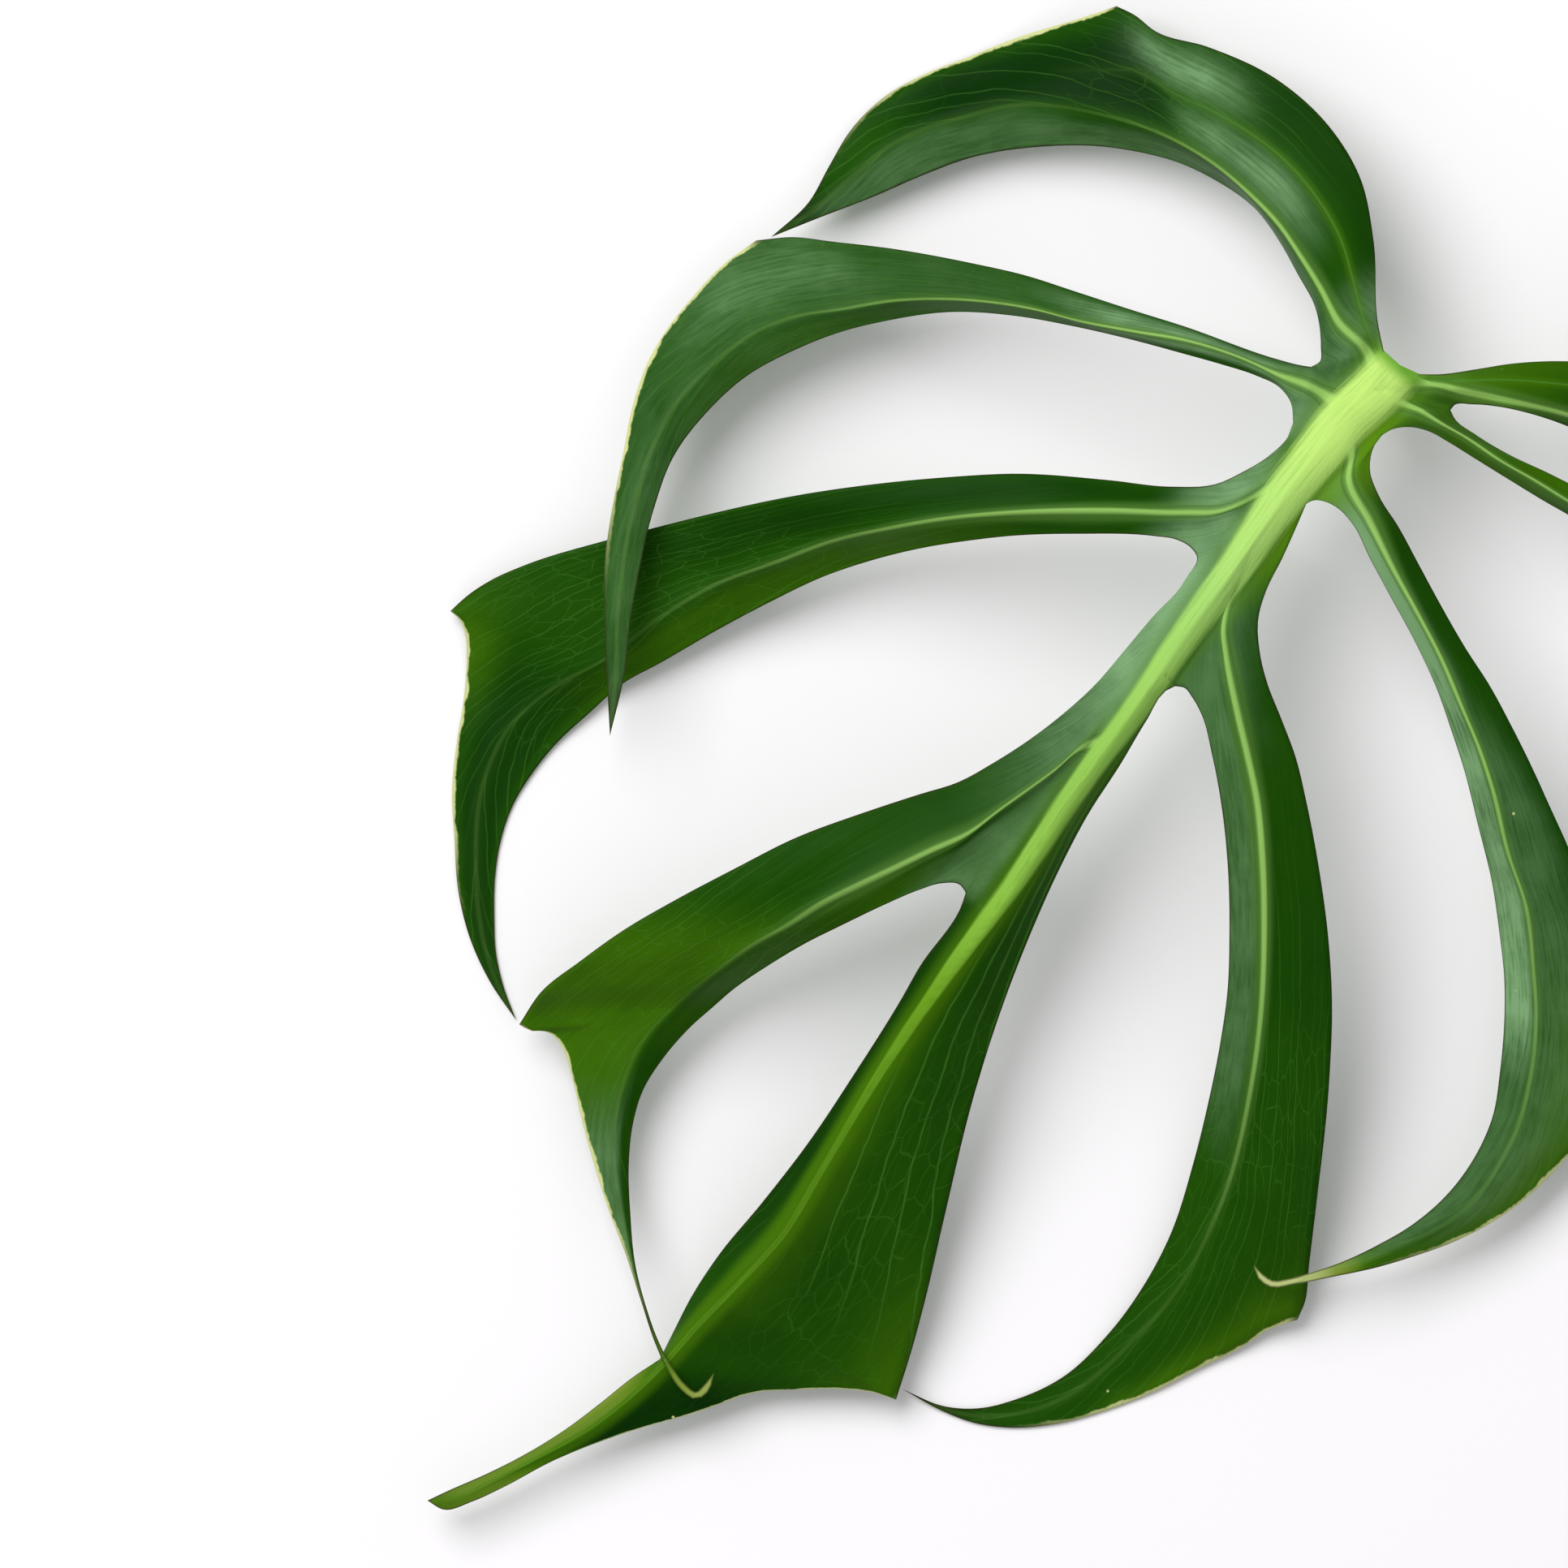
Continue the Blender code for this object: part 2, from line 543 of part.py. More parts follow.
def midrib_keel(station):
    """Depth of the midrib under the blade, thinning to nothing at the tip."""
    share = 1 - midrib_length(station) / MIDRIB.reach[-1]
    return MIDRIB_DEPTH * share


def build_blade():
    """The blade as one open sheet with Solidify, thicker along the midrib and the ribs."""
    bm = bmesh.new()
    keel = bm.verts.layers.float.new("keel")
    for lobe in left_lobes() + right_lobes():
        lay_lobe(bm, keel, lobe)
    for half in end_lobe_halves():
        lay_end_lobe(bm, keel, half)
    bmesh.ops.remove_doubles(bm, verts=bm.verts, dist=0.0001)
    bmesh.ops.triangulate(bm, faces=bm.faces, quad_method="SHORT_EDGE")
    bmesh.ops.recalc_face_normals(bm, faces=bm.faces)
    if sum(face.normal.z for face in bm.faces) < 0:
        bmesh.ops.reverse_faces(bm, faces=bm.faces)
    mesh = bpy.data.meshes.new(LEAF_NAME)
    bm.verts.ensure_lookup_table()
    depths = [vert[keel] for vert in bm.verts]
    bm.to_mesh(mesh)
    bm.free()
    blade = bpy.data.objects.new(LEAF_NAME, mesh)
    whole = BLADE_THICKNESS + MIDRIB_DEPTH
    group = blade.vertex_groups.new(name="keel")
    for i, depth in enumerate(depths):
        group.add([i], depth / MIDRIB_DEPTH, "REPLACE")
    solidify = blade.modifiers.new("thickness", "SOLIDIFY")
    solidify.thickness = whole
    solidify.offset = -1
    solidify.vertex_group = group.name
    solidify.thickness_vertex_group = BLADE_THICKNESS / whole
    return blade


def build_stalk():
    """The cut stub of the stalk: a bent tube from inside the midrib down under the blade."""
    top = leaf_frame(1712, 464, MIDRIB_HEIGHTS.at(0))
    curve = bpy.data.curves.new("stalk", "CURVE")
    curve.dimensions = "3D"
    curve.bevel_depth = STALK_RADIUS
    curve.bevel_resolution = 3
    curve.use_fill_caps = True
    drop = top[2] - STALK_FOOT
    # Share of the drop, how far the stub leans back under the blade, and its girth there.
    bends = [(0.13, 0.0, 0.86), (0.35, 0.3 * MM, 1.0), (0.6, 1.5 * MM, 0.98), (1.0, 4.5 * MM, 0.92)]
    spline = curve.splines.new("POLY")
    spline.points.add(len(bends) - 1)
    for point, (share, lean, girth) in zip(spline.points, bends):
        point.co = (top[0], top[1] - lean, top[2] - share * drop, 1)
        point.radius = girth
    tube = bpy.data.objects.new("stalk_curve", curve)
    bpy.context.scene.collection.objects.link(tube)
    stalk = applied(tube, "stalk")
    bm = bmesh.new()
    bm.from_mesh(stalk.data)
    bmesh.ops.remove_doubles(bm, verts=bm.verts, dist=0.00005)
    bmesh.ops.recalc_face_normals(bm, faces=bm.faces)
    bm.to_mesh(stalk.data)
    bm.free()
    return stalk


def applied(source, name):
    """A mesh object of what the source looks like with its modifiers; the source is removed."""
    bpy.context.view_layer.update()
    evaluated = source.evaluated_get(bpy.context.evaluated_depsgraph_get())
    mesh = bpy.data.meshes.new_from_object(evaluated)
    mesh.name = name
    bpy.data.objects.remove(source)
    result = bpy.data.objects.new(name, mesh)
    bpy.context.scene.collection.objects.link(result)
    return result


def press_flat(leaf):
    """Where the underside all but touches the surface, it lies flat on it."""
    for vert in leaf.data.vertices:
        if vert.co.z < PRESSED_FLAT:
            vert.co.z = 0.0


def centre_on_outline(leaf):
    """Moves the mesh so that the origin is on the surface, in the middle of the outline."""
    places = np.array([vert.co[:] for vert in leaf.data.vertices])
    middle = (places.min(axis=0) + places.max(axis=0)) / 2
    for vert in leaf.data.vertices:
        vert.co.x -= middle[0]
        vert.co.y -= middle[1]


def leaf_green():
    """Waxy dark green."""
    material = bpy.data.materials.new("leaf_green")
    material.use_nodes = True
    shader = material.node_tree.nodes["Principled BSDF"]
    shader.inputs["Base Color"].default_value = (0.022, 0.105, 0.009, 1)
    shader.inputs["Roughness"].default_value = 0.38
    shader.inputs["Metallic"].default_value = 0.0
    return material


def build_leaf():
    """The whole leaf in one solid: the blade with its ribs, and the stub joined to it."""
    sheet = build_blade()
    bpy.context.scene.collection.objects.link(sheet)
    stalk = build_stalk()
    blade = applied(sheet, "blade")
    press_flat(blade)
    union = blade.modifiers.new("stalk", "BOOLEAN")
    union.operation = "UNION"
    union.object = stalk
    leaf = applied(blade, LEAF_NAME)
    bpy.data.objects.remove(stalk)
    centre_on_outline(leaf)
    leaf.data.materials.clear()
    leaf.data.materials.append(leaf_green())
    leaf.data.shade_smooth()
    leaf.data.set_sharp_from_angle(angle=math.radians(50))
    return leaf


for old in list(bpy.data.objects):
    bpy.data.objects.remove(old)
parts = bpy.data.collections.new("monstera leaf")
bpy.context.scene.collection.children.link(parts)
monstera_leaf = build_leaf()
bpy.context.scene.collection.objects.unlink(monstera_leaf)
parts.objects.link(monstera_leaf)
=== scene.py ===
import math
import bmesh
import bpy
import numpy as np
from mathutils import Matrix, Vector
from mathutils.kdtree import KDTree


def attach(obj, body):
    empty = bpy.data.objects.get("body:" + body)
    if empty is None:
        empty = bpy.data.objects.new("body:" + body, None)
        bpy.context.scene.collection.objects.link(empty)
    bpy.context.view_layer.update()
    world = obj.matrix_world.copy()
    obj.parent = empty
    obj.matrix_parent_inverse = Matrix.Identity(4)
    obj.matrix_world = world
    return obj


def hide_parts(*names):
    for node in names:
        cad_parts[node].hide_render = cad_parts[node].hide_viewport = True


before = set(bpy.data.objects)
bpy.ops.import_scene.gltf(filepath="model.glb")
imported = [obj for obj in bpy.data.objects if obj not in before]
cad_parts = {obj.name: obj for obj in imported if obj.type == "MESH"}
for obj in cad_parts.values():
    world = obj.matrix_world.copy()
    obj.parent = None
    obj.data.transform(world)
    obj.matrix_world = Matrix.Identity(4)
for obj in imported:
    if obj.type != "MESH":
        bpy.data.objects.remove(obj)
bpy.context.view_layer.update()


# A thick waxy leaf blade, cut almost to the midrib into four lobes a side and an end lobe.
# It grew in one piece with its veins. Here it is a fine sheet over the same outlines and heights
# as the solid, with the midrib, the veins and the soft folds between them raised in its mesh.
MM = 0.001
MIDRIB_SPAN = 0.330

# The outlines are in the photograph's pixels, x to the right and y down. These points end the
# midrib, and their real distance sets the scale.
BLADE_BASE = (1722, 452)
BLADE_TIP = (527, 1848)
SCALE = MIDRIB_SPAN / math.dist(BLADE_BASE, BLADE_TIP)
PX_MM = SCALE / MM
# How far the straight part of the midrib leans from the picture's upright.
MIDRIB_LEAN = math.radians(35.8)

# Rows and columns of the fine sheet: faces for each station along the midrib, faces from the
# midrib to the gap bottoms, and the length of a face along a lobe in pixels.
STATION_GRAIN = 4
WEB_ROWS = 16
ROW_STEP = 8.32
# Points of neighbouring grids that lie closer than this, in pixels, become one.
MERGE_PX = 0.05


def mix(start, end, share):
    return start + (end - start) * share


def ramp(value, low, high):
    """A soft step from 0 at low to 1 at high."""
    share = np.clip((value - low) / (high - low), 0.0, 1.0)
    return share * share * (3 - 2 * share)


# The midrib and the lobes' outlines, as smooth lines through a few points.
class Rail:
    """A smooth line through a few points, given as stretches that follow each other.

    A place on it is a number: 1.5 is half way along the second stretch.
    """

    STEPS = 10

    def __init__(self, start, *stretches, sharp=False):
        spots = [start]
        cuts = [0]
        for stretch in stretches:
            spots += stretch
            cuts.append(len(spots) - 1)
        spots = np.array(spots, float)
        steps = np.diff(spots, axis=0)
        chords = np.linalg.norm(steps, axis=1)
        ahead = steps / chords[:, None]
        corners = cuts[1:-1] if sharp else []
        line = [spots[0]]
        for i, chord in enumerate(chords):
            leave = self.heading(ahead, chords, i, i in corners, 0)
            arrive = self.heading(ahead, chords, i + 1, i + 1 in corners, -1)
            for step in range(1, self.STEPS + 1):
                t = step / self.STEPS
                line.append(hermite(t, chord, spots[i], leave, spots[i + 1], arrive))
        self.line = np.array(line)
        pieces = np.linalg.norm(np.diff(self.line, axis=0), axis=1)
        self.reach = np.concatenate([[0.0], np.cumsum(pieces)])
        self.cuts = self.reach[[cut * self.STEPS for cut in cuts]]

    @staticmethod
    def heading(ahead, chords, i, corner, side):
        """The line's direction at point i. A corner has one direction on each side."""
        if i == 0:
            return ahead[0]
        if i == len(chords):
            return ahead[-1]
        if corner:
            return ahead[i + side]
        share = chords[i - 1] / (chords[i - 1] + chords[i])
        return ahead[i - 1] * (1 - share) + ahead[i] * share

    def at_length(self, length):
        return np.array([np.interp(length, self.reach, axis) for axis in self.line.T]).T

    def at(self, place):
        return self.at_length(np.interp(place, range(len(self.cuts)), self.cuts))

    def length_beside(self, spot):
        """The length at which the line passes closest to a spot."""
        steps = np.diff(self.line, axis=0)
        shares = ((spot - self.line[:-1]) * steps).sum(axis=1) / (steps**2).sum(axis=1)
        shares = np.clip(shares, 0, 1)
        closest = self.line[:-1] + steps * shares[:, None]
        i = int(np.argmin(np.linalg.norm(closest - spot, axis=1)))
        return mix(self.reach[i], self.reach[i + 1], shares[i])


def hermite(t, width, start, leave, end, arrive):
    """The cubic from start to end over a width, with the slopes leave and arrive."""
    return (
        (2 * t**3 - 3 * t**2 + 1) * start
        + (t**3 - 2 * t**2 + t) * width * leave
        + (3 * t**2 - 2 * t**3) * end
        + (t**3 - t**2) * width * arrive
    )


class Profile:
    """A smooth curve of heights over lengths that never swings past its given values."""

    def __init__(self, lengths, heights):
        self.lengths = np.array(lengths, float)
        self.heights = np.array(heights, float)
        slopes = np.diff(self.heights) / np.diff(self.lengths)
        products = slopes[:-1] * slopes[1:]
        totals = slopes[:-1] + slopes[1:]
        rising = products > 0
        inner = np.where(rising, 2 * products / np.where(rising, totals, 1), 0)
        self.turns = np.concatenate([slopes[:1], inner, slopes[-1:]])

    def at(self, length):
        length = np.clip(length, self.lengths[0], self.lengths[-1])
        i = np.searchsorted(self.lengths, length, side="right") - 1
        i = np.clip(i, 0, len(self.lengths) - 2)
        width = self.lengths[i + 1] - self.lengths[i]
        t = (length - self.lengths[i]) / width
        heights, turns = self.heights, self.turns
        return hermite(t, width, heights[i], turns[i], heights[i + 1], turns[i + 1])


# The midrib from the base to the tip, and its height in millimetres at some lengths in pixels.
MIDRIB = Rail(
    BLADE_BASE,
    [(1690, 486), (1652, 522), (1622, 560), (1590, 600), (1520, 700), (1450, 796), (1407, 860),
     (1344, 946), (1312, 991), (1250, 1085), (1174, 1188), (1089, 1312), (1009, 1446), (964, 1521),
     (911, 1579), (857, 1635), (812, 1686), (735, 1752), (640, 1806), (600, 1827), (562, 1844),
     BLADE_TIP],
)
MIDRIB_HEIGHTS = Profile(
    [0, 80, 350, 840, 1200, 1420, 1520, 1600, 1900],
    [36, 38, 41, 37, 25, 16, 12.5, 10.5, 9],
)

# Stations along the midrib, which the lobes of both sides share: their numbers and lengths.
STATION_NUMBERS = [0, 5, 8, 10, 14, 17, 21, 24, 31, 43, 52, 53]
BEFORE_TIP = 32
STATION_LENGTHS = [0, 36, 60, 84, 136, 196, 350, 480, 840, 1420, MIDRIB.reach[-1] - BEFORE_TIP,
                   MIDRIB.reach[-1]]

# The bottoms of the gaps between the lobes, with their heights in millimetres.
BASE_LEFT = (1702, 434, 35)
GAP_L1 = (1613, 454, 34)
GAP_L2 = (1591, 522, 35.5)
GAP_L3 = (1471, 697, 38)
GAP_L4 = (1189, 1099, 35)
BASE_RIGHT = (1746, 463, 35)
GAP_R1 = (1784, 507, 32)
GAP_R2 = (1700, 538, 36)
GAP_R3 = (1607, 622, 38)
GAP_R4 = (1446, 846, 38.5)


def midrib_length(station):
    return np.interp(station, STATION_NUMBERS, STATION_LENGTHS)


def midrib_spots(stations):
    """Points on the midrib, one row for each station."""
    return MIDRIB.at_length(midrib_length(stations))


def midrib_heights(stations):
    return MIDRIB_HEIGHTS.at(midrib_length(stations))


class Lobe:
    """One side lobe: a strip from its edge towards the base, over its vein, to its far edge.

    Places run from 0 on the midrib over 1 at the gap bottoms and 2 at the corner of the blunt
    end to 3 at the tip. Each edge is an arm and an end. The vein also has a root in the web.
    """

    def __init__(self, stations, gaps, near, vein, far, root_height, heights):
        self.first, self.vein_station, self.last = stations
        self.gaps = gaps
        near_gap, far_gap = gaps
        tip = near[-1][-1]
        count = (self.last - self.first) * STATION_GRAIN + 1
        self.stations = np.linspace(self.first, self.last, count)
        self.near_side = self.stations < self.vein_station
        border = np.where(self.near_side, self.first, self.last)
        self.across = (self.stations - border) / (self.vein_station - border)
        self.feet = midrib_spots(self.stations)
        self.foot_heights = midrib_heights(self.stations)
        self.vein_foot = midrib_spots([self.vein_station])[0]
        self.vein_foot_height = float(midrib_heights(self.vein_station))
        self.near = Rail(near_gap[:2], *near, sharp=True)
        self.vein = Rail(self.vein_foot, vein[0], vein[1], vein[2] + [tip])
        self.far = Rail(far_gap[:2], far[0], far[1] + [tip])
        places = [1] + [row[0] for row in heights]
        lengths = [self.vein_length(place) for place in places]
        self.near_height = Profile(lengths, [near_gap[2]] + [row[1] for row in heights])
        self.vein_height = Profile(lengths, [root_height] + [row[2] for row in heights])
        self.far_height = Profile(lengths, [far_gap[2]] + [row[3] for row in heights])

    def vein_length(self, place):
        return float(np.interp(place, range(4), self.vein.cuts))

    def spot_on(self, rail, place):
        """Where a row meets a rail. A rail longer than the others spends its extra length early.

        Towards the tip the rows turn square to the vein.
        """
        stretch = int(min(max(place, 1.0), 2.9999))
        begin, end = rail.cuts[stretch - 4], rail.cuts[stretch - 3]
        shortest = min(other.cuts[stretch - 3] - other.cuts[stretch - 4]
                       for other in (self.near, self.vein, self.far))
        left = min(max(stretch + 1 - place, 0.0), 1.0)
        extra = end - begin - shortest
        length = end - shortest * left - extra * left**3
        if rail is not self.vein and place > 2.2:
            square = min((place - 2.2) / 0.3, 1.0)
            length = mix(length, rail.length_beside(self.spot_on(self.vein, place)), square)
        return rail.at_length(length)

    def vein_spot(self, place, near, far):
        """The vein's place, which runs midway between the edges where the tip is narrow."""
        if place < 1:
            return self.vein.at(place)
        narrow = min(max((place - 2.4) / 0.3, 0.0), 1.0)
        return mix(self.spot_on(self.vein, place), (near + far) / 2, narrow)

    def places(self):
        """Places of the rows: the web, the arm and the end, each with faces of like length."""
        arm, end = (
            max(rail.cuts[cut] - rail.cuts[cut - 1] for rail in (self.near, self.vein, self.far))
            for cut in (-2, -1)
        )
        arm_rows = round(arm / ROW_STEP)
        end_rows = round(end / ROW_STEP)
        web = [row / WEB_ROWS for row in range(WEB_ROWS)]
        arm = [1 + (row / arm_rows) ** 1.25 for row in range(arm_rows)]
        return web + arm + [2 + row / end_rows for row in range(end_rows + 1)]

    def row(self, place):
        """One row of points from the near to the far edge, and where each is on the lobe."""
        share = min(place, 1.0)
        near = self.spot_on(self.near, place)
        far = self.spot_on(self.far, place)
        vein = self.vein_spot(place, near, far)
        near = mix(self.feet[0], near, share)
        far = mix(self.feet[-1], far, share)
        near_side, across = self.near_side, self.across
        edge = np.where(near_side[:, None], near, far)
        width = np.linalg.norm(edge - vein, axis=1)
        length = self.vein_length(place)
        near_height = mix(self.foot_heights[0], self.near_height.at(length), share)
        far_height = mix(self.foot_heights[-1], self.far_height.at(length), share)
        vein_height = mix(self.vein_foot_height, self.vein_height.at(length), share)
        edge_height = np.where(near_side, near_height, far_height)
        if place >= 1:
            steepest = width * PX_MM * np.minimum(0.15 * width * PX_MM, 0.9)
            edge_height = vein_height - np.clip(vein_height - edge_height, -steepest, steepest)
        swell = mix(across, np.sin(across * math.pi / 2), share)
        height = mix(edge_height, vein_height, swell)
        feet = mix(np.where(near_side[:, None], self.feet[0], self.feet[-1]), self.vein_foot,
                   across[:, None])
        foot_height = mix(np.where(near_side, self.foot_heights[0], self.foot_heights[-1]),
                          self.vein_foot_height, across)
        spots = mix(edge, vein, across[:, None]) + (self.feet - feet) * (1 - share)
        height = height + (self.foot_heights - foot_height) * (1 - share)
        to_edge = across * width
        if place < 1:
            gap_spots = np.where(near_side[:, None], self.gaps[0][:2], self.gaps[1][:2])
            to_edge = np.linalg.norm(spots - gap_spots, axis=1)
        return {
            "spots": spots,
            "height": height,
            "beside": (1 - across) * width * np.where(near_side, -1, 1) * PX_MM,
            "along": np.full(len(across), length * PX_MM),
            "to_edge": to_edge * PX_MM,
            "width": width * PX_MM,
            "reach": np.full(len(across), place),
        }


class EndLobe:
    """One half of the end lobe: a strip from the midrib out to the leaf's edge."""

    def __init__(self, side, start, turn, gap, edge, heights):
        self.side = side
        self.start = start
        self.edge = Rail(gap[:2], *edge, sharp=True)
        self.marks = [midrib_length(mark) for mark in (start, turn, STATION_NUMBERS[-1])]
        places, values = zip(*heights)
        lengths = np.interp(places, [0, 1, 2], self.edge.cuts)
        self.edge_height = Profile([0, *lengths], [gap[2], *values])

    def places(self):
        """The stations of the rows: those of the lobes beside it, and closer ones past them."""
        shared = STATION_NUMBERS[-4]
        beside = (shared - self.start) * STATION_GRAIN
        rows = [self.start + row / STATION_GRAIN for row in range(beside)]
        beyond = (STATION_NUMBERS[-1] - shared) * STATION_GRAIN * 2
        return rows + [shared + row / (STATION_GRAIN * 2) for row in range(beyond + 1)]

    def row(self, station):
        """One row of points from the midrib out to the edge."""
        across = np.linspace(0, 1, WEB_ROWS + 1)
        along = midrib_length(station)
        place = np.interp(along, self.marks, [0, 1, 2])
        length = float(np.interp(place, [0, 1, 2], self.edge.cuts))
        middle = midrib_spots([station])[0]
        edge = self.edge.at_length(length)
        width = math.dist(middle, edge)
        swell = 1 - np.sin((1 - across) * math.pi / 2)
        started = min((station - self.start) / 4, 1.0)
        share = mix(across, swell, started)
        height = mix(midrib_heights(station), self.edge_height.at(length), share)
        return {
            "spots": mix(middle, edge, across[:, None]),
            "height": height,
            "beside": across * width * PX_MM * self.side,
            "along": np.full(len(across), along * PX_MM),
            "to_edge": (1 - across) * width * PX_MM,
            "width": np.full(len(across), width * PX_MM),
            "reach": np.full(len(across), 1 + place),
        }


def left_lobes():
    """The four lobes left of the midrib, from the base on."""
    first = Lobe(
        stations=(0, 5, 8),
        gaps=(BASE_LEFT, GAP_L1),
        near=([(1695, 400), (1690, 300), (1673, 220), (1637, 160), (1571, 100), (1487, 60),
               (1422, 40), (1397, 20), (1375, 9)],
              [(1345, 19), (1250, 48), (1189, 72), (1136, 93), (1093, 117), (1050, 158),
               (1021, 206), (997, 249), (950, 293)]),
        vein=([(1682, 436)],
              [(1647, 400), (1625, 360), (1600, 320), (1573, 280), (1535, 240), (1487, 200),
               (1412, 160)],
              [(1360, 144), (1307, 133), (1247, 131), (1170, 153), (1098, 180), (1030, 222)]),
        far=([(1624, 447), (1625, 430), (1618, 380), (1597, 340), (1575, 300), (1548, 262),
              (1490, 220), (1452, 202)],
             [(1400, 188), (1350, 181), (1293, 181), (1193, 196), (1141, 215), (1074, 244),
              (1007, 270)]),
        root_height=36,
        heights=[(1.25, 30, 33.5, 31), (1.6, 24, 27.5, 23), (2, 14, 20, 15), (2.35, 0.8, 12, 9),
                 (2.6, 0.8, 10, 8.5), (2.85, 7, 9.5, 9), (3, 10.5, 10.5, 10.5)],
    )
    second = Lobe(
        stations=(8, 10, 14),
        gaps=(GAP_L1, GAP_L2),
        near=([(1600, 452), (1573, 445), (1457, 404), (1387, 382), (1326, 362), (1261, 341),
               (1200, 327), (1098, 308), (1026, 299), (975, 293), (932, 297)],
              [(892, 326), (854, 366), (825, 402), (797, 450), (780, 500), (768, 560), (756, 620),
               (747, 680), (745, 768), (748, 835), (752, 907)]),
        vein=([(1609, 477)],
              [(1573, 464), (1527, 443), (1461, 422), (1396, 411), (1331, 399), (1270, 383),
               (1170, 371), (1098, 373), (1036, 383)],
              [(978, 392), (930, 411), (880, 448), (830, 502), (806, 550), (784, 620), (768, 720),
               (760, 820)]),
        far=([(1588, 498), (1575, 480), (1546, 465), (1503, 451), (1457, 438), (1387, 419),
              (1317, 403), (1250, 391), (1170, 386), (1090, 397)],
             [(1040, 409), (978, 433), (918, 466), (873, 507), (830, 564), (806, 628), (787, 710),
              (777, 768), (770, 830)]),
        root_height=36.5,
        heights=[(1.3, 32, 35, 33), (1.65, 26, 31, 28), (2, 8, 23, 20), (2.3, 10, 22, 19.5),
                 (2.6, 18, 22, 20.5), (2.8, 20, 21, 20.5), (3, 19.5, 19.5, 19.5)],
    )
    third = Lobe(
        stations=(14, 17, 21),
        gaps=(GAP_L2, GAP_L3),
        near=([(1585, 539), (1564, 561), (1527, 584), (1499, 597), (1441, 601), (1365, 593),
               (1250, 585), (1170, 589), (1074, 598), (978, 612), (883, 632), (806, 651),
               (744, 667), (643, 698), (605, 715), (576, 734), (555, 753)],
              [(566, 763), (574, 785), (575, 808), (571, 866), (563, 914), (557, 982), (560, 1032),
               (564, 1094), (579, 1156), (604, 1210), (636, 1257)]),
        vein=([(1562, 604)],
              [(1527, 623), (1499, 633), (1460, 634), (1365, 630), (1250, 632), (1170, 639),
               (1098, 651), (1026, 667), (954, 694), (883, 720), (811, 763), (749, 810)],
              [(690, 843), (657, 866), (628, 895), (604, 940), (589, 990), (585, 1032), (590, 1100),
               (603, 1170)]),
        far=([(1473, 689), (1466, 677), (1447, 666), (1422, 662), (1326, 659), (1250, 661),
              (1194, 667), (1131, 677), (1074, 691), (1017, 710), (945, 744), (883, 777),
              (812, 818)],
             [(768, 842), (728, 877), (682, 920), (653, 957), (633, 990), (616, 1040), (610, 1081),
              (609, 1131), (611, 1173), (620, 1214)]),
        root_height=38.5,
        heights=[(1.2, 34, 37, 35.5), (1.45, 26, 30, 27.5), (1.62, 14, 19, 17), (1.8, 8, 12, 10.5),
                 (2, 3, 7, 6), (2.2, 0.7, 2.2, 2), (2.45, 0.7, 0.7, 0.7), (3, 0.7, 0.7, 0.7)],
    )
    fourth = Lobe(
        stations=(21, 26, 31),
        gaps=(GAP_L3, GAP_L4),
        near=([(1463, 708), (1451, 727), (1422, 757), (1384, 802), (1348, 844), (1312, 877),
               (1268, 911), (1223, 940), (1179, 964), (1134, 978), (1067, 1000), (978, 1033),
               (907, 1069), (835, 1107), (768, 1146), (715, 1184), (667, 1222), (640, 1262)],
              [(655, 1270), (670, 1270), (684, 1277), (695, 1295), (705, 1327), (717, 1379),
               (731, 1430), (750, 1490), (772, 1547), (790, 1602), (809, 1658), (823, 1688),
               (840, 1712), (858, 1723), (873, 1713), (880, 1690)]),
        vein=([(1338, 918)],
              [(1300, 948), (1230, 999), (1192, 1028), (1148, 1048), (1103, 1069), (1059, 1089),
               (1014, 1111), (969, 1140), (925, 1165), (880, 1198), (829, 1241)],
              [(789, 1287), (766, 1344), (755, 1400), (757, 1450), (768, 1520), (786, 1590),
               (812, 1660), (827, 1689), (842, 1709), (858, 1719), (870, 1710)]),
        far=([(1182, 1090), (1159, 1088), (1132, 1096), (1092, 1113), (1036, 1140), (992, 1162),
              (947, 1189), (902, 1220), (878, 1241)],
             [(852, 1264), (817, 1304), (792, 1344), (780, 1385), (775, 1436), (777, 1495),
              (783, 1557), (796, 1608), (816, 1661), (831, 1687), (845, 1705), (858, 1714),
              (867, 1706)]),
        root_height=38.5,
        heights=[(1.3, 35, 37, 34), (1.6, 28, 31, 27), (1.85, 17, 23, 19), (2, 8, 17, 14),
                 (2.15, 9, 14.5, 12), (2.4, 11, 13, 11.5), (2.7, 13, 13.5, 13),
                 (2.85, 14.5, 14.5, 14.5), (3, 14.5, 14.5, 14.5)],
    )
    return [first, second, third, fourth]


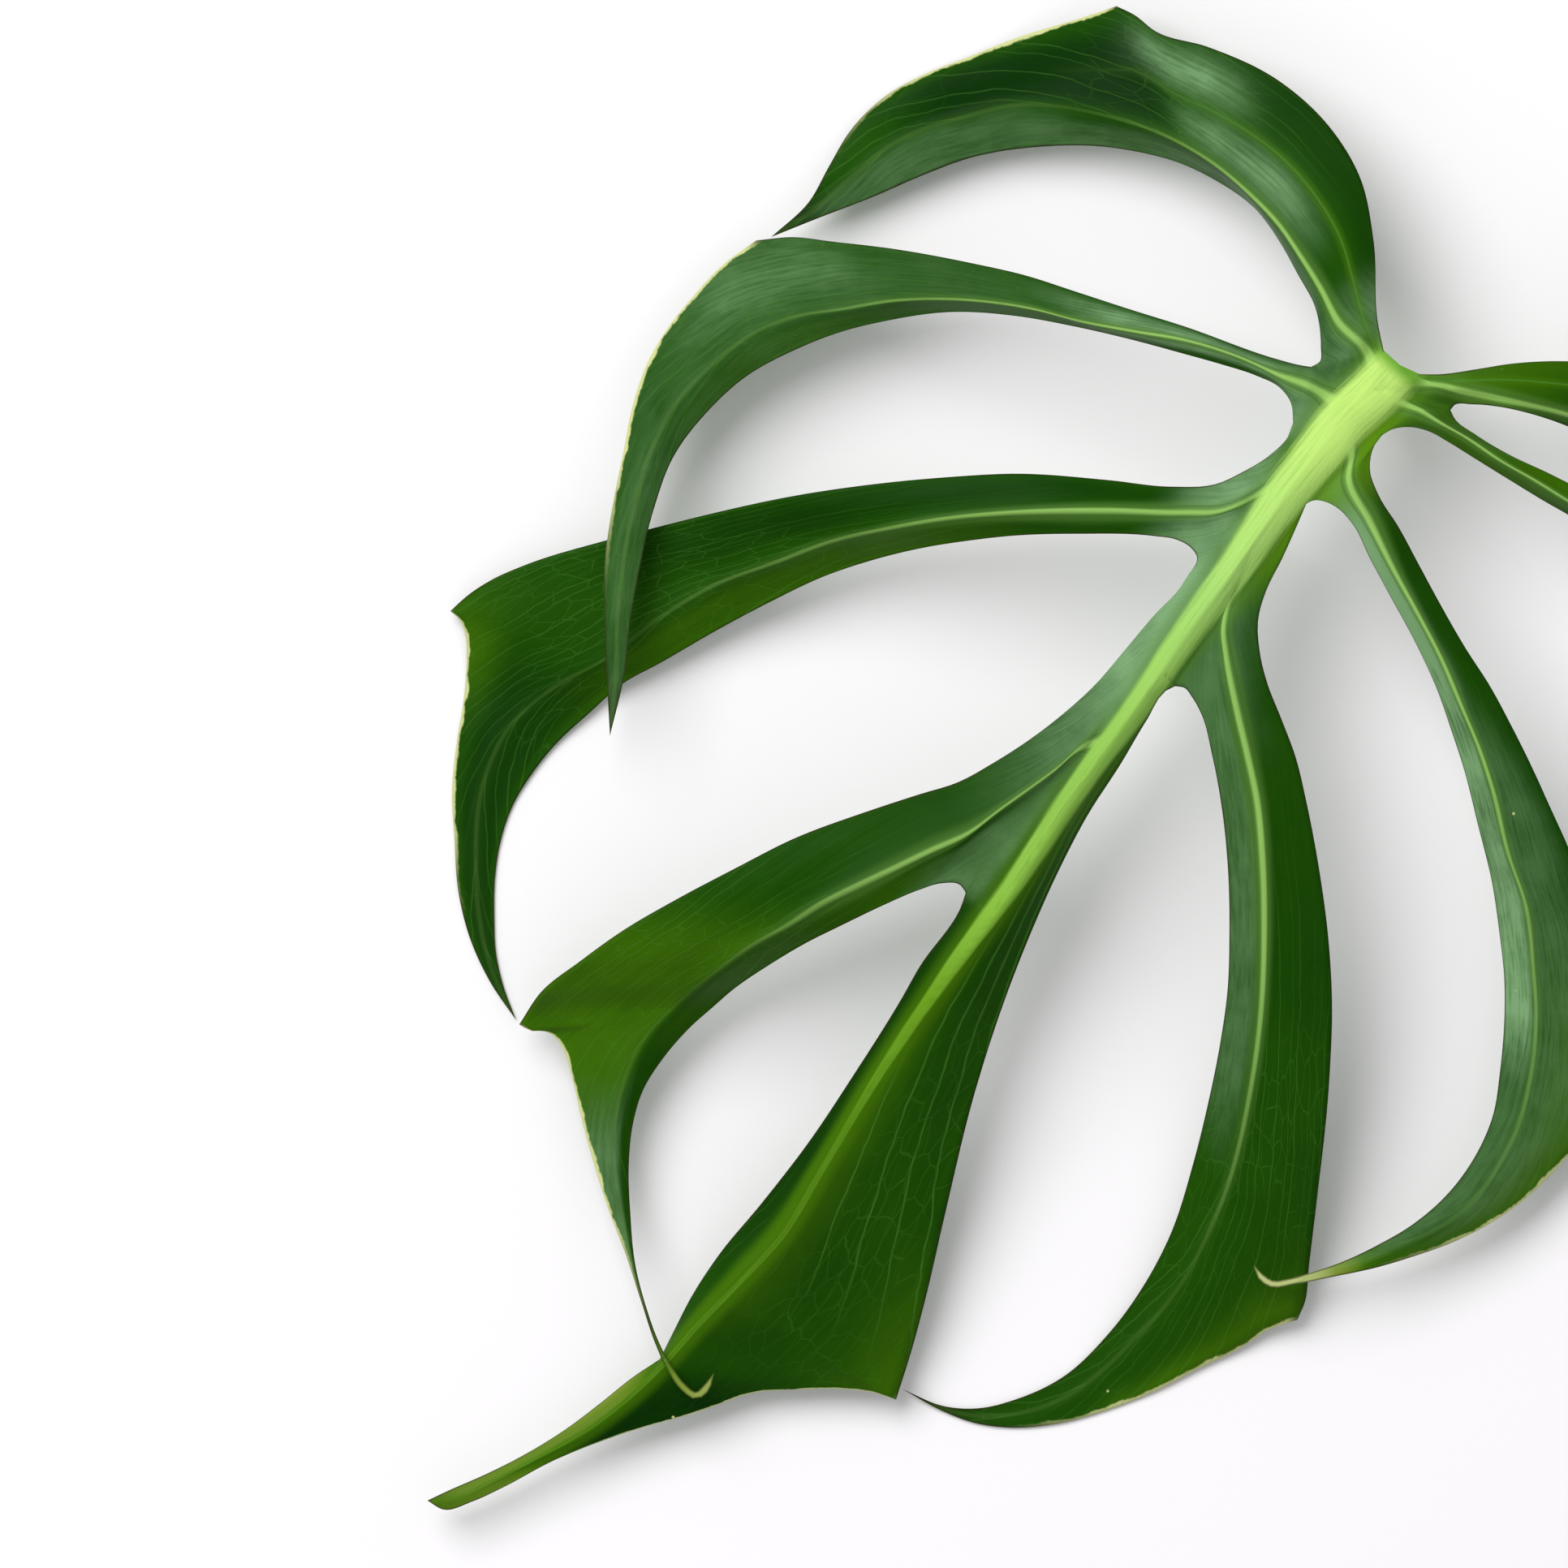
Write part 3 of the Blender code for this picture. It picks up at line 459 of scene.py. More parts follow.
def right_lobes():
    """The four lobes right of the midrib, from the base on. The first two are half out of view."""
    first = Lobe(
        stations=(0, 3, 5),
        gaps=(BASE_RIGHT, GAP_R1),
        near=([(1772, 463), (1815, 457), (1859, 450), (1902, 447), (1932, 447), (1998, 450),
               (2070, 464), (2140, 490), (2200, 530), (2246, 580)],
              [(2282, 640), (2304, 715), (2302, 790), (2284, 845), (2258, 886)]),
        vein=([(1764, 475)],
              [(1789, 482), (1831, 490), (1872, 499), (1932, 514), (1990, 535), (2050, 566),
               (2100, 603)],
              [(2160, 672), (2200, 735), (2228, 795), (2246, 850)]),
        far=([(1789, 501), (1810, 500), (1837, 502), (1881, 511), (1932, 528), (1985, 553),
              (2040, 592), (2066, 616)],
             [(2090, 642), (2132, 700), (2170, 752), (2205, 805), (2235, 852)]),
        root_height=35.5,
        heights=[(1.25, 32, 34, 31.5), (1.6, 24, 27, 24), (2, 10, 14, 12), (2.3, 3, 8, 7),
                 (2.6, 0.7, 3, 4), (2.85, 0.7, 1.5, 2), (3, 1.5, 1.5, 1.5)],
    )
    second = Lobe(
        stations=(5, 6, 10),
        gaps=(GAP_R1, GAP_R2),
        near=([(1789, 517), (1815, 537), (1859, 563), (1902, 583), (1932, 598), (1990, 628),
               (2050, 665), (2110, 712), (2165, 768), (2215, 835), (2252, 905)],
              [(2264, 960), (2257, 1020), (2232, 1075), (2190, 1125), (2130, 1168), (2060, 1195)]),
        vein=([(1718, 495), (1744, 505)],
              [(1775, 524), (1803, 540), (1844, 568), (1886, 592), (1932, 620), (1990, 652),
               (2050, 695), (2110, 755), (2155, 820)],
              [(2182, 890), (2193, 960), (2188, 1030), (2165, 1090), (2120, 1145)]),
        far=([(1712, 531), (1735, 528), (1757, 533), (1781, 546), (1815, 567), (1859, 594),
              (1902, 620), (1932, 637), (1985, 675), (2040, 725), (2088, 785), (2112, 828)],
             [(2140, 915), (2145, 980), (2138, 1045), (2115, 1105), (2085, 1155)]),
        root_height=36,
        heights=[(1.3, 31, 33.5, 31), (1.65, 22, 26, 22), (2, 8, 13, 11), (2.3, 1.5, 6, 5),
                 (2.6, 0.7, 1.5, 1.2), (2.8, 0.7, 0.7, 0.7), (3, 0.7, 0.7, 0.7)],
    )
    third = Lobe(
        stations=(10, 12, 17),
        gaps=(GAP_R2, GAP_R3),
        near=([(1690, 552), (1685, 580), (1696, 612), (1720, 650), (1746, 698), (1772, 746),
               (1802, 798), (1833, 846), (1859, 894), (1885, 946), (1907, 994), (1928, 1040),
               (1955, 1105), (1978, 1170), (1995, 1235), (2003, 1290)],
              [(1990, 1345), (1965, 1392), (1932, 1423), (1907, 1450), (1873, 1481), (1835, 1507),
               (1787, 1531), (1739, 1548), (1691, 1562), (1643, 1572), (1596, 1581), (1562, 1584),
               (1550, 1575), (1544, 1558)]),
        vein=([(1663, 560), (1659, 588)],
              [(1685, 646), (1711, 698), (1742, 754), (1772, 811), (1798, 872), (1820, 924),
               (1837, 976), (1855, 1050), (1878, 1117), (1887, 1189)],
              [(1891, 1260), (1885, 1323), (1868, 1390), (1835, 1450), (1787, 1502), (1730, 1532),
               (1660, 1556), (1600, 1575), (1562, 1580)]),
        far=([(1616, 618), (1628, 619), (1646, 628), (1663, 646), (1685, 689), (1711, 737),
              (1742, 794), (1768, 850), (1785, 898), (1802, 950), (1818, 1013), (1837, 1090),
              (1846, 1150)],
             [(1852, 1205), (1852, 1261), (1847, 1320), (1838, 1375), (1817, 1423), (1782, 1471),
              (1738, 1509), (1697, 1533), (1655, 1553), (1615, 1567), (1586, 1575), (1567, 1577),
              (1556, 1570)]),
        root_height=37.5,
        heights=[(1.25, 33, 36, 34), (1.6, 25, 30, 27), (1.85, 17, 23, 21), (2, 11, 18, 16),
                 (2.3, 9, 14, 12), (2.6, 10.5, 13, 12), (2.85, 12.5, 13, 12.5), (3, 14, 14, 14)],
    )
    fourth = Lobe(
        stations=(17, 19, 24),
        gaps=(GAP_R3, GAP_R4),
        near=([(1598, 643), (1577, 690), (1558, 728), (1548, 763), (1550, 805), (1559, 842),
               (1576, 885), (1594, 933), (1607, 987), (1623, 1071), (1634, 1152), (1639, 1232),
               (1636, 1330), (1621, 1481), (1612, 1560), (1607, 1605), (1598, 1626)],
              [(1567, 1636), (1528, 1661), (1477, 1686), (1421, 1715), (1365, 1737), (1303, 1754),
               (1247, 1759), (1200, 1753), (1160, 1738), (1111, 1711)]),
        vein=([(1527, 712)],
              [(1511, 742), (1504, 768), (1507, 807), (1520, 872), (1533, 924), (1546, 981),
               (1554, 1062), (1556, 1152), (1552, 1248), (1540, 1340), (1507, 1475)],
              [(1488, 1520), (1455, 1582), (1399, 1648), (1320, 1708), (1250, 1738), (1180, 1741)]),
        far=([(1457, 848), (1467, 860), (1478, 880), (1491, 929), (1504, 1000), (1511, 1071),
              (1513, 1152), (1511, 1219), (1502, 1286), (1487, 1362), (1470, 1432)],
             [(1440, 1525), (1410, 1582), (1365, 1644), (1309, 1697), (1252, 1724), (1207, 1735),
              (1165, 1733)]),
        root_height=39,
        heights=[(1.3, 34, 37, 35), (1.6, 24, 29, 26), (1.85, 12, 17, 15), (2, 4.5, 9, 8),
                 (2.25, 0.9, 3.5, 4), (2.5, 0.7, 1, 1), (2.7, 0.7, 0.7, 0.7), (2.85, 0.7, 0.7, 0.7),
                 (3, 2, 2, 2)],
    )
    return [first, second, third, fourth]


def end_lobe_halves():
    """The left and the right half of the end lobe, which the midrib parts."""
    left = EndLobe(
        side=1,
        start=31,
        turn=46,
        gap=GAP_L4,
        edge=([(1185, 1112), (1132, 1191), (1110, 1230), (1053, 1321), (995, 1408), (938, 1482),
               (886, 1545), (852, 1597), (830, 1640), (813, 1674)],
              [(780, 1696), (740, 1728), (696, 1761), (640, 1795), (600, 1815), (550, 1837),
               BLADE_TIP]),
        heights=[(0.5, 22), (0.8, 13), (1, 9.5), (1.5, 9.3), (1.85, 9.2), (2, 9)],
    )
    right = EndLobe(
        side=-1,
        start=24,
        turn=43,
        gap=GAP_R4,
        edge=([(1437, 850), (1411, 888), (1379, 942), (1339, 1004), (1304, 1071), (1268, 1152),
               (1237, 1232), (1201, 1344), (1163, 1500), (1140, 1600), (1124, 1660),
               (1104, 1724)],
              [(1080, 1716), (1040, 1711), (970, 1712), (936, 1714), (860, 1739), (770, 1765),
               (680, 1800), (620, 1832), (583, 1849), (546, 1859), BLADE_TIP]),
        heights=[(0.3, 30), (0.6, 20), (0.85, 11), (1, 6.5), (1.3, 7.6), (1.7, 9.4), (1.9, 9.3),
                 (2, 9)],
    )
    return [left, right]


# The values that each vertex keeps of its place on a lobe. The UV map holds the places beside
# and along the vein, a unit for 100 mm, and each lobe begins 4 units past the one before.
PLACE_LAYERS = ("beside", "to_edge", "width", "reach")
UV_MM = 100
LOBE_UV = 4


def lay_rows(bm, part, number):
    """A flat grid of faces, moved row by row to its place, with its place on the lobe as a UV."""
    rows = [part.row(place) for place in part.places()]
    columns = len(rows[0]["height"]) - 1
    grid = bmesh.ops.create_grid(bm, x_segments=columns, y_segments=len(rows) - 1, size=0.5)
    lobe = bm.verts.layers.float["lobe"]
    sheet_uv = bm.loops.layers.uv["Veins"]
    for vert in grid["verts"]:
        column = round((vert.co.x + 0.5) * columns)
        row = rows[round((vert.co.y + 0.5) * (len(rows) - 1))]
        spot = row["spots"][column]
        vert.co = (spot[0], -spot[1], row["height"][column] / PX_MM)
        for name in PLACE_LAYERS:
            vert[bm.verts.layers.float[name]] = row[name][column]
        vert[lobe] = number
        place = (row["beside"][column] / UV_MM, row["along"][column] / UV_MM + number * LOBE_UV)
        for loop in vert.link_loops:
            loop[sheet_uv].uv = place


def settled(height, mesh, rounds):
    """Heights eased towards their neighbours', so that the lobes flow into each other."""
    ends = np.empty(len(mesh.edges) * 2, int)
    mesh.edges.foreach_get("vertices", ends)
    left, right = ends[::2], ends[1::2]
    count = np.bincount(ends, minlength=len(height))
    for _ in range(rounds):
        total = np.bincount(left, height[right], len(height))
        total += np.bincount(right, height[left], len(height))
        height = mix(height, total / count, 0.5)
    return height


def beside_line(line, spots):
    """The distance of each spot from a line, and the length along the line beside it."""
    steps = np.diff(line, axis=0)
    lengths = np.concatenate([[0.0], np.cumsum(np.linalg.norm(steps, axis=1))])
    nearest = np.full(len(spots), np.inf)
    beside = np.zeros(len(spots))
    for i, step in enumerate(steps):
        share = np.clip((spots - line[i]) @ step / (step @ step), 0, 1)
        gap = np.linalg.norm(spots - line[i] - share[:, None] * step, axis=1)
        closer = gap < nearest
        nearest = np.where(closer, gap, nearest)
        beside = np.where(closer, lengths[i] + share * (lengths[i + 1] - lengths[i]), beside)
    return nearest, beside


def layer_values(mesh, name):
    values = np.empty(len(mesh.vertices), np.float32)
    mesh.attributes[name].data.foreach_get("value", values)
    return values.astype(float)


def add_values(mesh, name, values):
    layer = mesh.attributes.new(name, "FLOAT", "POINT")
    layer.data.foreach_set("value", values.astype(np.float32))


def made_mesh(name, bm):
    mesh = bpy.data.meshes.new(name)
    bm.to_mesh(mesh)
    bm.free()
    return mesh


def made_object(name, data):
    thing = bpy.data.objects.new(name, data)
    bpy.context.scene.collection.objects.link(thing)
    return thing


bm = bmesh.new()
for name in PLACE_LAYERS + ("lobe",):
    bm.verts.layers.float.new(name)
bm.loops.layers.uv.new("Veins")
for number, part in enumerate(left_lobes() + right_lobes() + end_lobe_halves()):
    lay_rows(bm, part, number)
bmesh.ops.remove_doubles(bm, verts=bm.verts, dist=MERGE_PX)
bmesh.ops.triangulate(bm, faces=bm.faces, quad_method="SHORT_EDGE")
bmesh.ops.recalc_face_normals(bm, faces=bm.faces)
if sum(face.normal.z for face in bm.faces) < 0:
    bmesh.ops.reverse_faces(bm, faces=bm.faces)
blade_mesh = made_mesh("leaf_blade", bm)

# The relief on the sheet, in millimetres: the midrib's rounded band with a shallow channel on
# either side, each lobe's vein with its grooves, the rounded arms, a soft ridge along the end
# lobe, and folds along the lobes. The band's rise and its channel are shares of its width.
BAND_RISE = 0.16
CHANNEL = 0.10
VEIN_RIDGE = 0.22
VEIN_GROOVE = 0.28
ARM_RISE = 1.2
END_RISE = 0.8
FOLD_RISE = 0.07
FOLD_WIDTH = 6.5
WAVE_RISE = 0.25
MIDRIB_BAND = Profile(
    [0, 120, 250, 380, 560, 800, 980, 1215, 1500, 1900],
    [5.2, 4.8, 3.9, 3.1, 2.5, 2.0, 1.2, 0.6, 0.5, 0.4],
)
places = np.empty(len(blade_mesh.vertices) * 3)
blade_mesh.vertices.foreach_get("co", places)
places = places.reshape(-1, 3)
height = settled(places[:, 2] * PX_MM, blade_mesh, 6)
spots = places[:, :2] * (1, -1)
from_midrib, midrib_place = beside_line(MIDRIB.line, spots)
from_midrib = from_midrib * PX_MM
band = np.array([MIDRIB_BAND.at(length) for length in midrib_place])
beside, to_edge, width, reach = (layer_values(blade_mesh, name) for name in PLACE_LAYERS)
lobe = layer_values(blade_mesh, "lobe")
on_blade = ramp(from_midrib, band, band * 2.2)
inside = ramp(to_edge, 0.0, 2.5)
from_band = from_midrib / band
relief = BAND_RISE * band * ramp(band, 0.6, 1.6) * np.exp(-(from_band**4))
relief -= CHANNEL * band * ramp(band, 0.8, 3.0) * np.exp(-(((from_band - 1.35) / 0.35) ** 2))
vein_left = (1 - ramp(reach, 1.4, 2.2)) * (lobe < 7.5)
relief += VEIN_RIDGE * np.exp(-((beside / 0.6) ** 2)) * on_blade * vein_left
grooves = np.exp(-(((np.abs(beside) - 1.5) / 0.7) ** 2))
relief -= VEIN_GROOVE * grooves * on_blade * inside * vein_left
arm = (ramp(reach, 0.7, 1.2) * (1 - ramp(reach, 1.6, 2.4)) + 0.3) * (lobe < 7.5)
relief += ARM_RISE * np.exp(-((beside / 4.0) ** 2)) * arm * on_blade * ramp(width, 2.0, 6.0)
end_ridge = np.exp(-((from_midrib / 3.0) ** 2)) * ramp(reach, 1.1, 1.6) * (lobe > 7.5)
relief += END_RISE * end_ridge
folds = np.cos(np.abs(beside) * 2 * math.pi / FOLD_WIDTH) * ramp(np.abs(beside), 2.0, 4.0)
relief += FOLD_RISE * folds * on_blade * inside * ramp(reach, 1.1, 1.5)
waves = np.sin(spots[:, 0] / 31 + np.sin(spots[:, 1] / 57)) * np.sin(spots[:, 1] / 37)
relief += WAVE_RISE * waves * on_blade
height = height + relief * ramp(width, 0.3, 3.0)

# The leaf's own frame: the midrib along Y with the tip towards -Y, and the outline's middle at 0.
cos, sin = math.cos(MIDRIB_LEAN), math.sin(MIDRIB_LEAN)


def leaf_frame(spot_x, spot_y):
    """The leaf's X and Y, in metres from the blade's base, of a point of the picture."""
    right = (spot_x - BLADE_BASE[0]) * SCALE
    up = (BLADE_BASE[1] - spot_y) * SCALE
    return right * cos - up * sin, right * sin + up * cos


leaf_x, leaf_y = leaf_frame(spots[:, 0], spots[:, 1])
middle_x = (leaf_x.min() + leaf_x.max()) / 2
middle_y = (leaf_y.min() + leaf_y.max()) / 2
LOWEST = 0.75
height = np.maximum(height, LOWEST)
blade_points = np.stack([leaf_x - middle_x, leaf_y - middle_y, height * MM], axis=1)
blade_mesh.vertices.foreach_set("co", blade_points.ravel())
add_values(blade_mesh, "from_midrib", from_midrib)
add_values(blade_mesh, "midrib_place", midrib_place * PX_MM)
add_values(blade_mesh, "band", band)

# Patches of the surface, in three tables. The first is painted sheen: the grey-green reflection of
# the window light on the waxy skin, where a lobe faces the light. The second is young yellow-green,
# on the end lobe's left half partly painted light where it faces the light. The third is deep
# green, partly painted shade on sides and tips turned away from the light. Each is a lobe, from and
# to a place along it, from and to a share across it (-1 is the edge towards the base, 0 the vein
# and 1 the far edge), and a strength. Lobes 0 to 3 are on the left, 4 to 7 on the right, and 8 and
# 9 are the halves of the end lobe.
SHEEN_PATCHES = [
    (0, 1.62, 1.85, -0.85, -0.6, 1.1), (0, 1.35, 1.72, -0.36, -0.14, 0.9),
    (0, 1.2, 2.3, 0.35, 1.2, 0.35), (0, 2.3, 2.8, 0.1, 1.2, 0.3), (1, 0.6, 1.35, -0.7, 0.6, 0.95),
    (1, 1.5, 3.1, -1.2, 1.2, 0.1), (1, 1.9, 2.15, -0.9, -0.3, 0.5), (1, 2.4, 3.1, -0.6, 1.2, 0.18),
    (2, 0.5, 0.9, -0.7, 0.9, 0.3), (3, 2.3, 2.55, -1.2, 0.4, 0.45), (3, 0.6, 1.1, 0.3, 1.2, 0.4),
    (6, 0.6, 1.4, 0.0, 1.2, 2.0), (6, 1.4, 2.15, 0.1, 1.2, 1.1), (6, 2.1, 2.75, 0.1, 1.2, 0.25),
    (6, 1.5, 2.5, -0.7, 0.1, 0.3), (7, 1.0, 1.8, 0.25, 1.2, 0.35),
    (7, 0.7, 1.05, -0.6, 0.6, 0.4),
]
# Young yellow-green. On the end lobe's left half, along its midrib and at its tongue, it is partly
# painted light where that half faces the light.
YOUNG_AND_LIT_PATCHES = [
    (0, 0.1, 0.95, -1.2, -0.25, 0.7), (1, 1.5, 2.3, 0.3, 1.2, 0.3),
    (2, 2.0, 2.12, -1.2, -0.75, 0.8), (2, 1.4, 2.1, 0.2, 1.2, 0.55), (3, 1.6, 2.2, -1.2, 0.1, 0.8),
    (3, 1.2, 2.0, 0.3, 1.2, 0.4), (3, 0.4, 1.0, 0.15, 1.2, 0.25), (3, 2.85, 3.1, -1.2, 1.2, 2.2),
    (4, 0.3, 1.2, -1.2, 1.2, 0.7), (5, 0.3, 1.4, -1.2, 1.2, 0.7), (6, 2.8, 3.1, -1.2, 1.2, 2.8),
    (7, 1.97, 2.4, -1.2, -0.8, 1.35), (6, 2.0, 2.7, -1.2, -0.3, 0.7),
    (8, 1.3, 2.0, -0.2, 0.45, 0.8), (8, 2.05, 3.1, -0.2, 1.2, 2.0), (9, 0.2, 2.0, -0.2, 0.3, 0.7),
    (9, 1.9, 2.0, -1.2, -0.75, 0.7), (9, 2.75, 3.1, -1.2, 0.2, 1.7),
]
# Deep green, partly its own colour and partly painted shade: the end lobe's right tip, the fourth
# right lobe's tail and the right sides of the third and fourth right lobes, which turn away from
# the light.
DEEP_AND_SHADE_PATCHES = [
    (0, 2.85, 3.1, -1.2, 1.2, 1.0), (0, 1.0, 1.5, -1.2, -0.65, 0.5),
    (0, 1.9, 2.5, -0.85, -0.05, 0.95), (1, 2.9, 3.1, -1.2, 1.2, 1.0),
    (2, 1.1, 1.7, -0.9, -0.3, 0.5), (2, 2.1, 2.9, -0.6, 0.8, 0.6), (6, 1.0, 2.0, -1.2, -0.6, 0.3),
    (7, 1.1, 2.2, -1.2, -0.4, 0.2), (7, 2.85, 3.1, -1.2, 1.2, 1.0), (8, 1.0, 1.7, 0.5, 1.2, 0.6),
    (9, 2.3, 2.6, -1.2, -0.12, 0.9), (9, 1.8, 2.1, -0.4, 0.1, 0.4), (8, 2.97, 3.1, -1.2, 1.2, 0.8),
    (9, 2.97, 3.1, -1.2, 1.2, 0.8),
]
across = beside / np.maximum(width, 0.01)
on_left = (lobe < 4) | (lobe == 8)
add_values(blade_mesh, "across_midrib", np.where(on_left, -from_midrib, from_midrib))


def patches(rows):
    """The strongest of the patches at each vertex, each soft at its borders."""
    strongest = np.zeros(len(lobe))
    for number, start, end, near, far, strength in rows:
        along = ramp(reach, start - 0.15, start + 0.1) * (1 - ramp(reach, end - 0.05, end + 0.2))
        sideways = ramp(across, near - 0.15, near + 0.15)
        sideways = sideways * (1 - ramp(across, far - 0.15, far + 0.15))
        strongest = np.maximum(strongest, (lobe == number) * along * sideways * strength)
    return strongest


left_of_midrib = ramp(leaf_x * -1000, -1.0, 3.0)
# Painted sheen in the web beside the midrib near the base, mostly left of it, where the web faces
# the light.
web_sheen = (1 - ramp(from_midrib, 8, 24)) * (1 - ramp(midrib_place, 450, 800))
web_sheen = web_sheen * mix(0.1, 1.0, left_of_midrib)
YOUNG_SPOT = (1730, 452)
from_base = np.hypot(spots[:, 0] - YOUNG_SPOT[0], spots[:, 1] - YOUNG_SPOT[1])
base_young = (1 - ramp(from_base, 20, 250)) * (1 - left_of_midrib)
bloom = np.maximum(web_sheen, patches(SHEEN_PATCHES))
young = np.maximum(base_young, patches(YOUNG_AND_LIT_PATCHES))
for name, values in (("bloom", bloom), ("young", young), ("deep", patches(DEEP_AND_SHADE_PATCHES))):
    add_values(blade_mesh, name, settled(values, blade_mesh, 4))

# The first lobe of either side has a second vein, half way between its vein and its near edge.
SECOND_VEIN_SHARE = -0.48
has_second = (lobe == 0) | (lobe == 4)
add_values(blade_mesh, "second", np.where(has_second, (across - SECOND_VEIN_SHARE) * width, 9.0))
add_values(blade_mesh, "end_lobe", settled((lobe == 9) * 1.0, blade_mesh, 2))

# How pale each lobe's vein is, in the order of the lobes. The third and fourth on the left fade
# early, and the end lobe has only the midrib.
VEIN_STRENGTHS = np.array([0.9, 1.0, 0.85, 0.75, 0.9, 0.9, 1.0, 0.9, 0.0, 0.0])
VEIN_FADES = np.array([1.4, 1.4, 1.1, 1.1, 1.4, 1.4, 1.2, 1.4, 1.0, 1.0])
VEIN_ENDS = np.array([2.2, 2.2, 2.0, 1.9, 2.2, 2.2, 2.7, 2.2, 2.0, 2.0])
lobe_number = lobe.round().astype(int)
faded = ramp(reach, VEIN_FADES[lobe_number], VEIN_ENDS[lobe_number]) * 0.93
add_values(blade_mesh, "vein", settled(VEIN_STRENGTHS[lobe_number] * (1 - faded), blade_mesh, 2))
blade_mesh.update()
normals = np.empty(len(blade_mesh.vertices) * 3)
blade_mesh.vertices.foreach_get("normal", normals)
slopes = np.abs(normals.reshape(-1, 3)[:, 2])

# The blade's thickness in millimetres: thinner at its margin, thicker under the midrib and the
# lobes' veins, and measured upright, so that it grows where the sheet is steep.
BLADE_THICKNESS = 0.7
MIDRIB_DEPTH = 5.0
RIB_DEPTH = 1.8
midrib_left = 1 - midrib_place / MIDRIB.reach[-1]
keel_share = from_midrib / (band * 1.1 + 0.3)
keel = MIDRIB_DEPTH * midrib_left * np.sqrt(np.clip(1 - keel_share**2, 0, 1))
keel = keel * mix(0.3, 1.0, ramp(midrib_place, 0, 24))
lobe_ribs = np.clip(width / 5, 0, 1) * on_blade
steepness = settled(1 / np.maximum(slopes, 0.45), blade_mesh, 3)
rib = RIB_DEPTH * 0.6 * np.exp(-((beside / 1.0) ** 2)) * lobe_ribs
thickness = BLADE_THICKNESS * mix(0.5, 1.0, ramp(to_edge, 0, 1.5)) * steepness
thickness += np.maximum(keel, rib)
OFF_FLOOR = 0.02
underside = height - np.minimum(thickness, height - OFF_FLOOR)

# The underside is the same sheet again, lower by the thickness, joined to it along the margin.
bm = bmesh.new()
bm.from_mesh(blade_mesh)
grown = bmesh.ops.extrude_face_region(bm, geom=bm.faces[:], use_keep_orig=True)
bm.verts.index_update()
lower = [piece for piece in grown["geom"] if isinstance(piece, bmesh.types.BMVert)]
under_faces = [piece for piece in grown["geom"] if isinstance(piece, bmesh.types.BMFace)]
place = KDTree(len(blade_points))
for i, point in enumerate(blade_points):
    place.insert(point, i)
place.balance()
for vert in lower:
    vert.co.z = underside[place.find(vert.co)[1]] * MM
for face in under_faces:
    face.material_index = 1
bmesh.ops.recalc_face_normals(bm, faces=bm.faces)
bm.to_mesh(blade_mesh)
bm.free()
leaf_blade = made_object("leaf_blade", blade_mesh)
blade_mesh.shade_smooth()
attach(leaf_blade, "root")
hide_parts("monstera_leaf")


class Socket:
    """A shader value that takes part in sums and products as a plain number does."""

    def __init__(self, tree, output):
        self.tree = tree
        self.output = output

    def maths(self, operation, *values):
        return self.tree.node("ShaderNodeMath", {"operation": operation}, dict(enumerate(values)))

    def __add__(self, other):
        return self.maths("ADD", self, other)

    def __sub__(self, other):
        return self.maths("SUBTRACT", self, other)

    def __rsub__(self, other):
        return self.maths("SUBTRACT", other, self)

    def __mul__(self, other):
        return self.maths("MULTIPLY", self, other)

    def __truediv__(self, other):
        return self.maths("DIVIDE", self, other)

    def __abs__(self):
        return self.maths("ABSOLUTE", self)

    __radd__ = __add__
    __rmul__ = __mul__

    def most(self, other):
        return self.maths("MAXIMUM", self, other)

    def step(self, low, high):
        """A soft step from 0 at low to 1 at high."""
        return self.tree.node(
            "ShaderNodeMapRange",
            {"interpolation_type": "SMOOTHSTEP", "clamp": True},
            {"Value": self, "From Min": low, "From Max": high},
        )


# Millimetres between the fine veins, and along a lobe to the next one at the same place.
NET_GAP = 2.7
NET_SLANT = 20


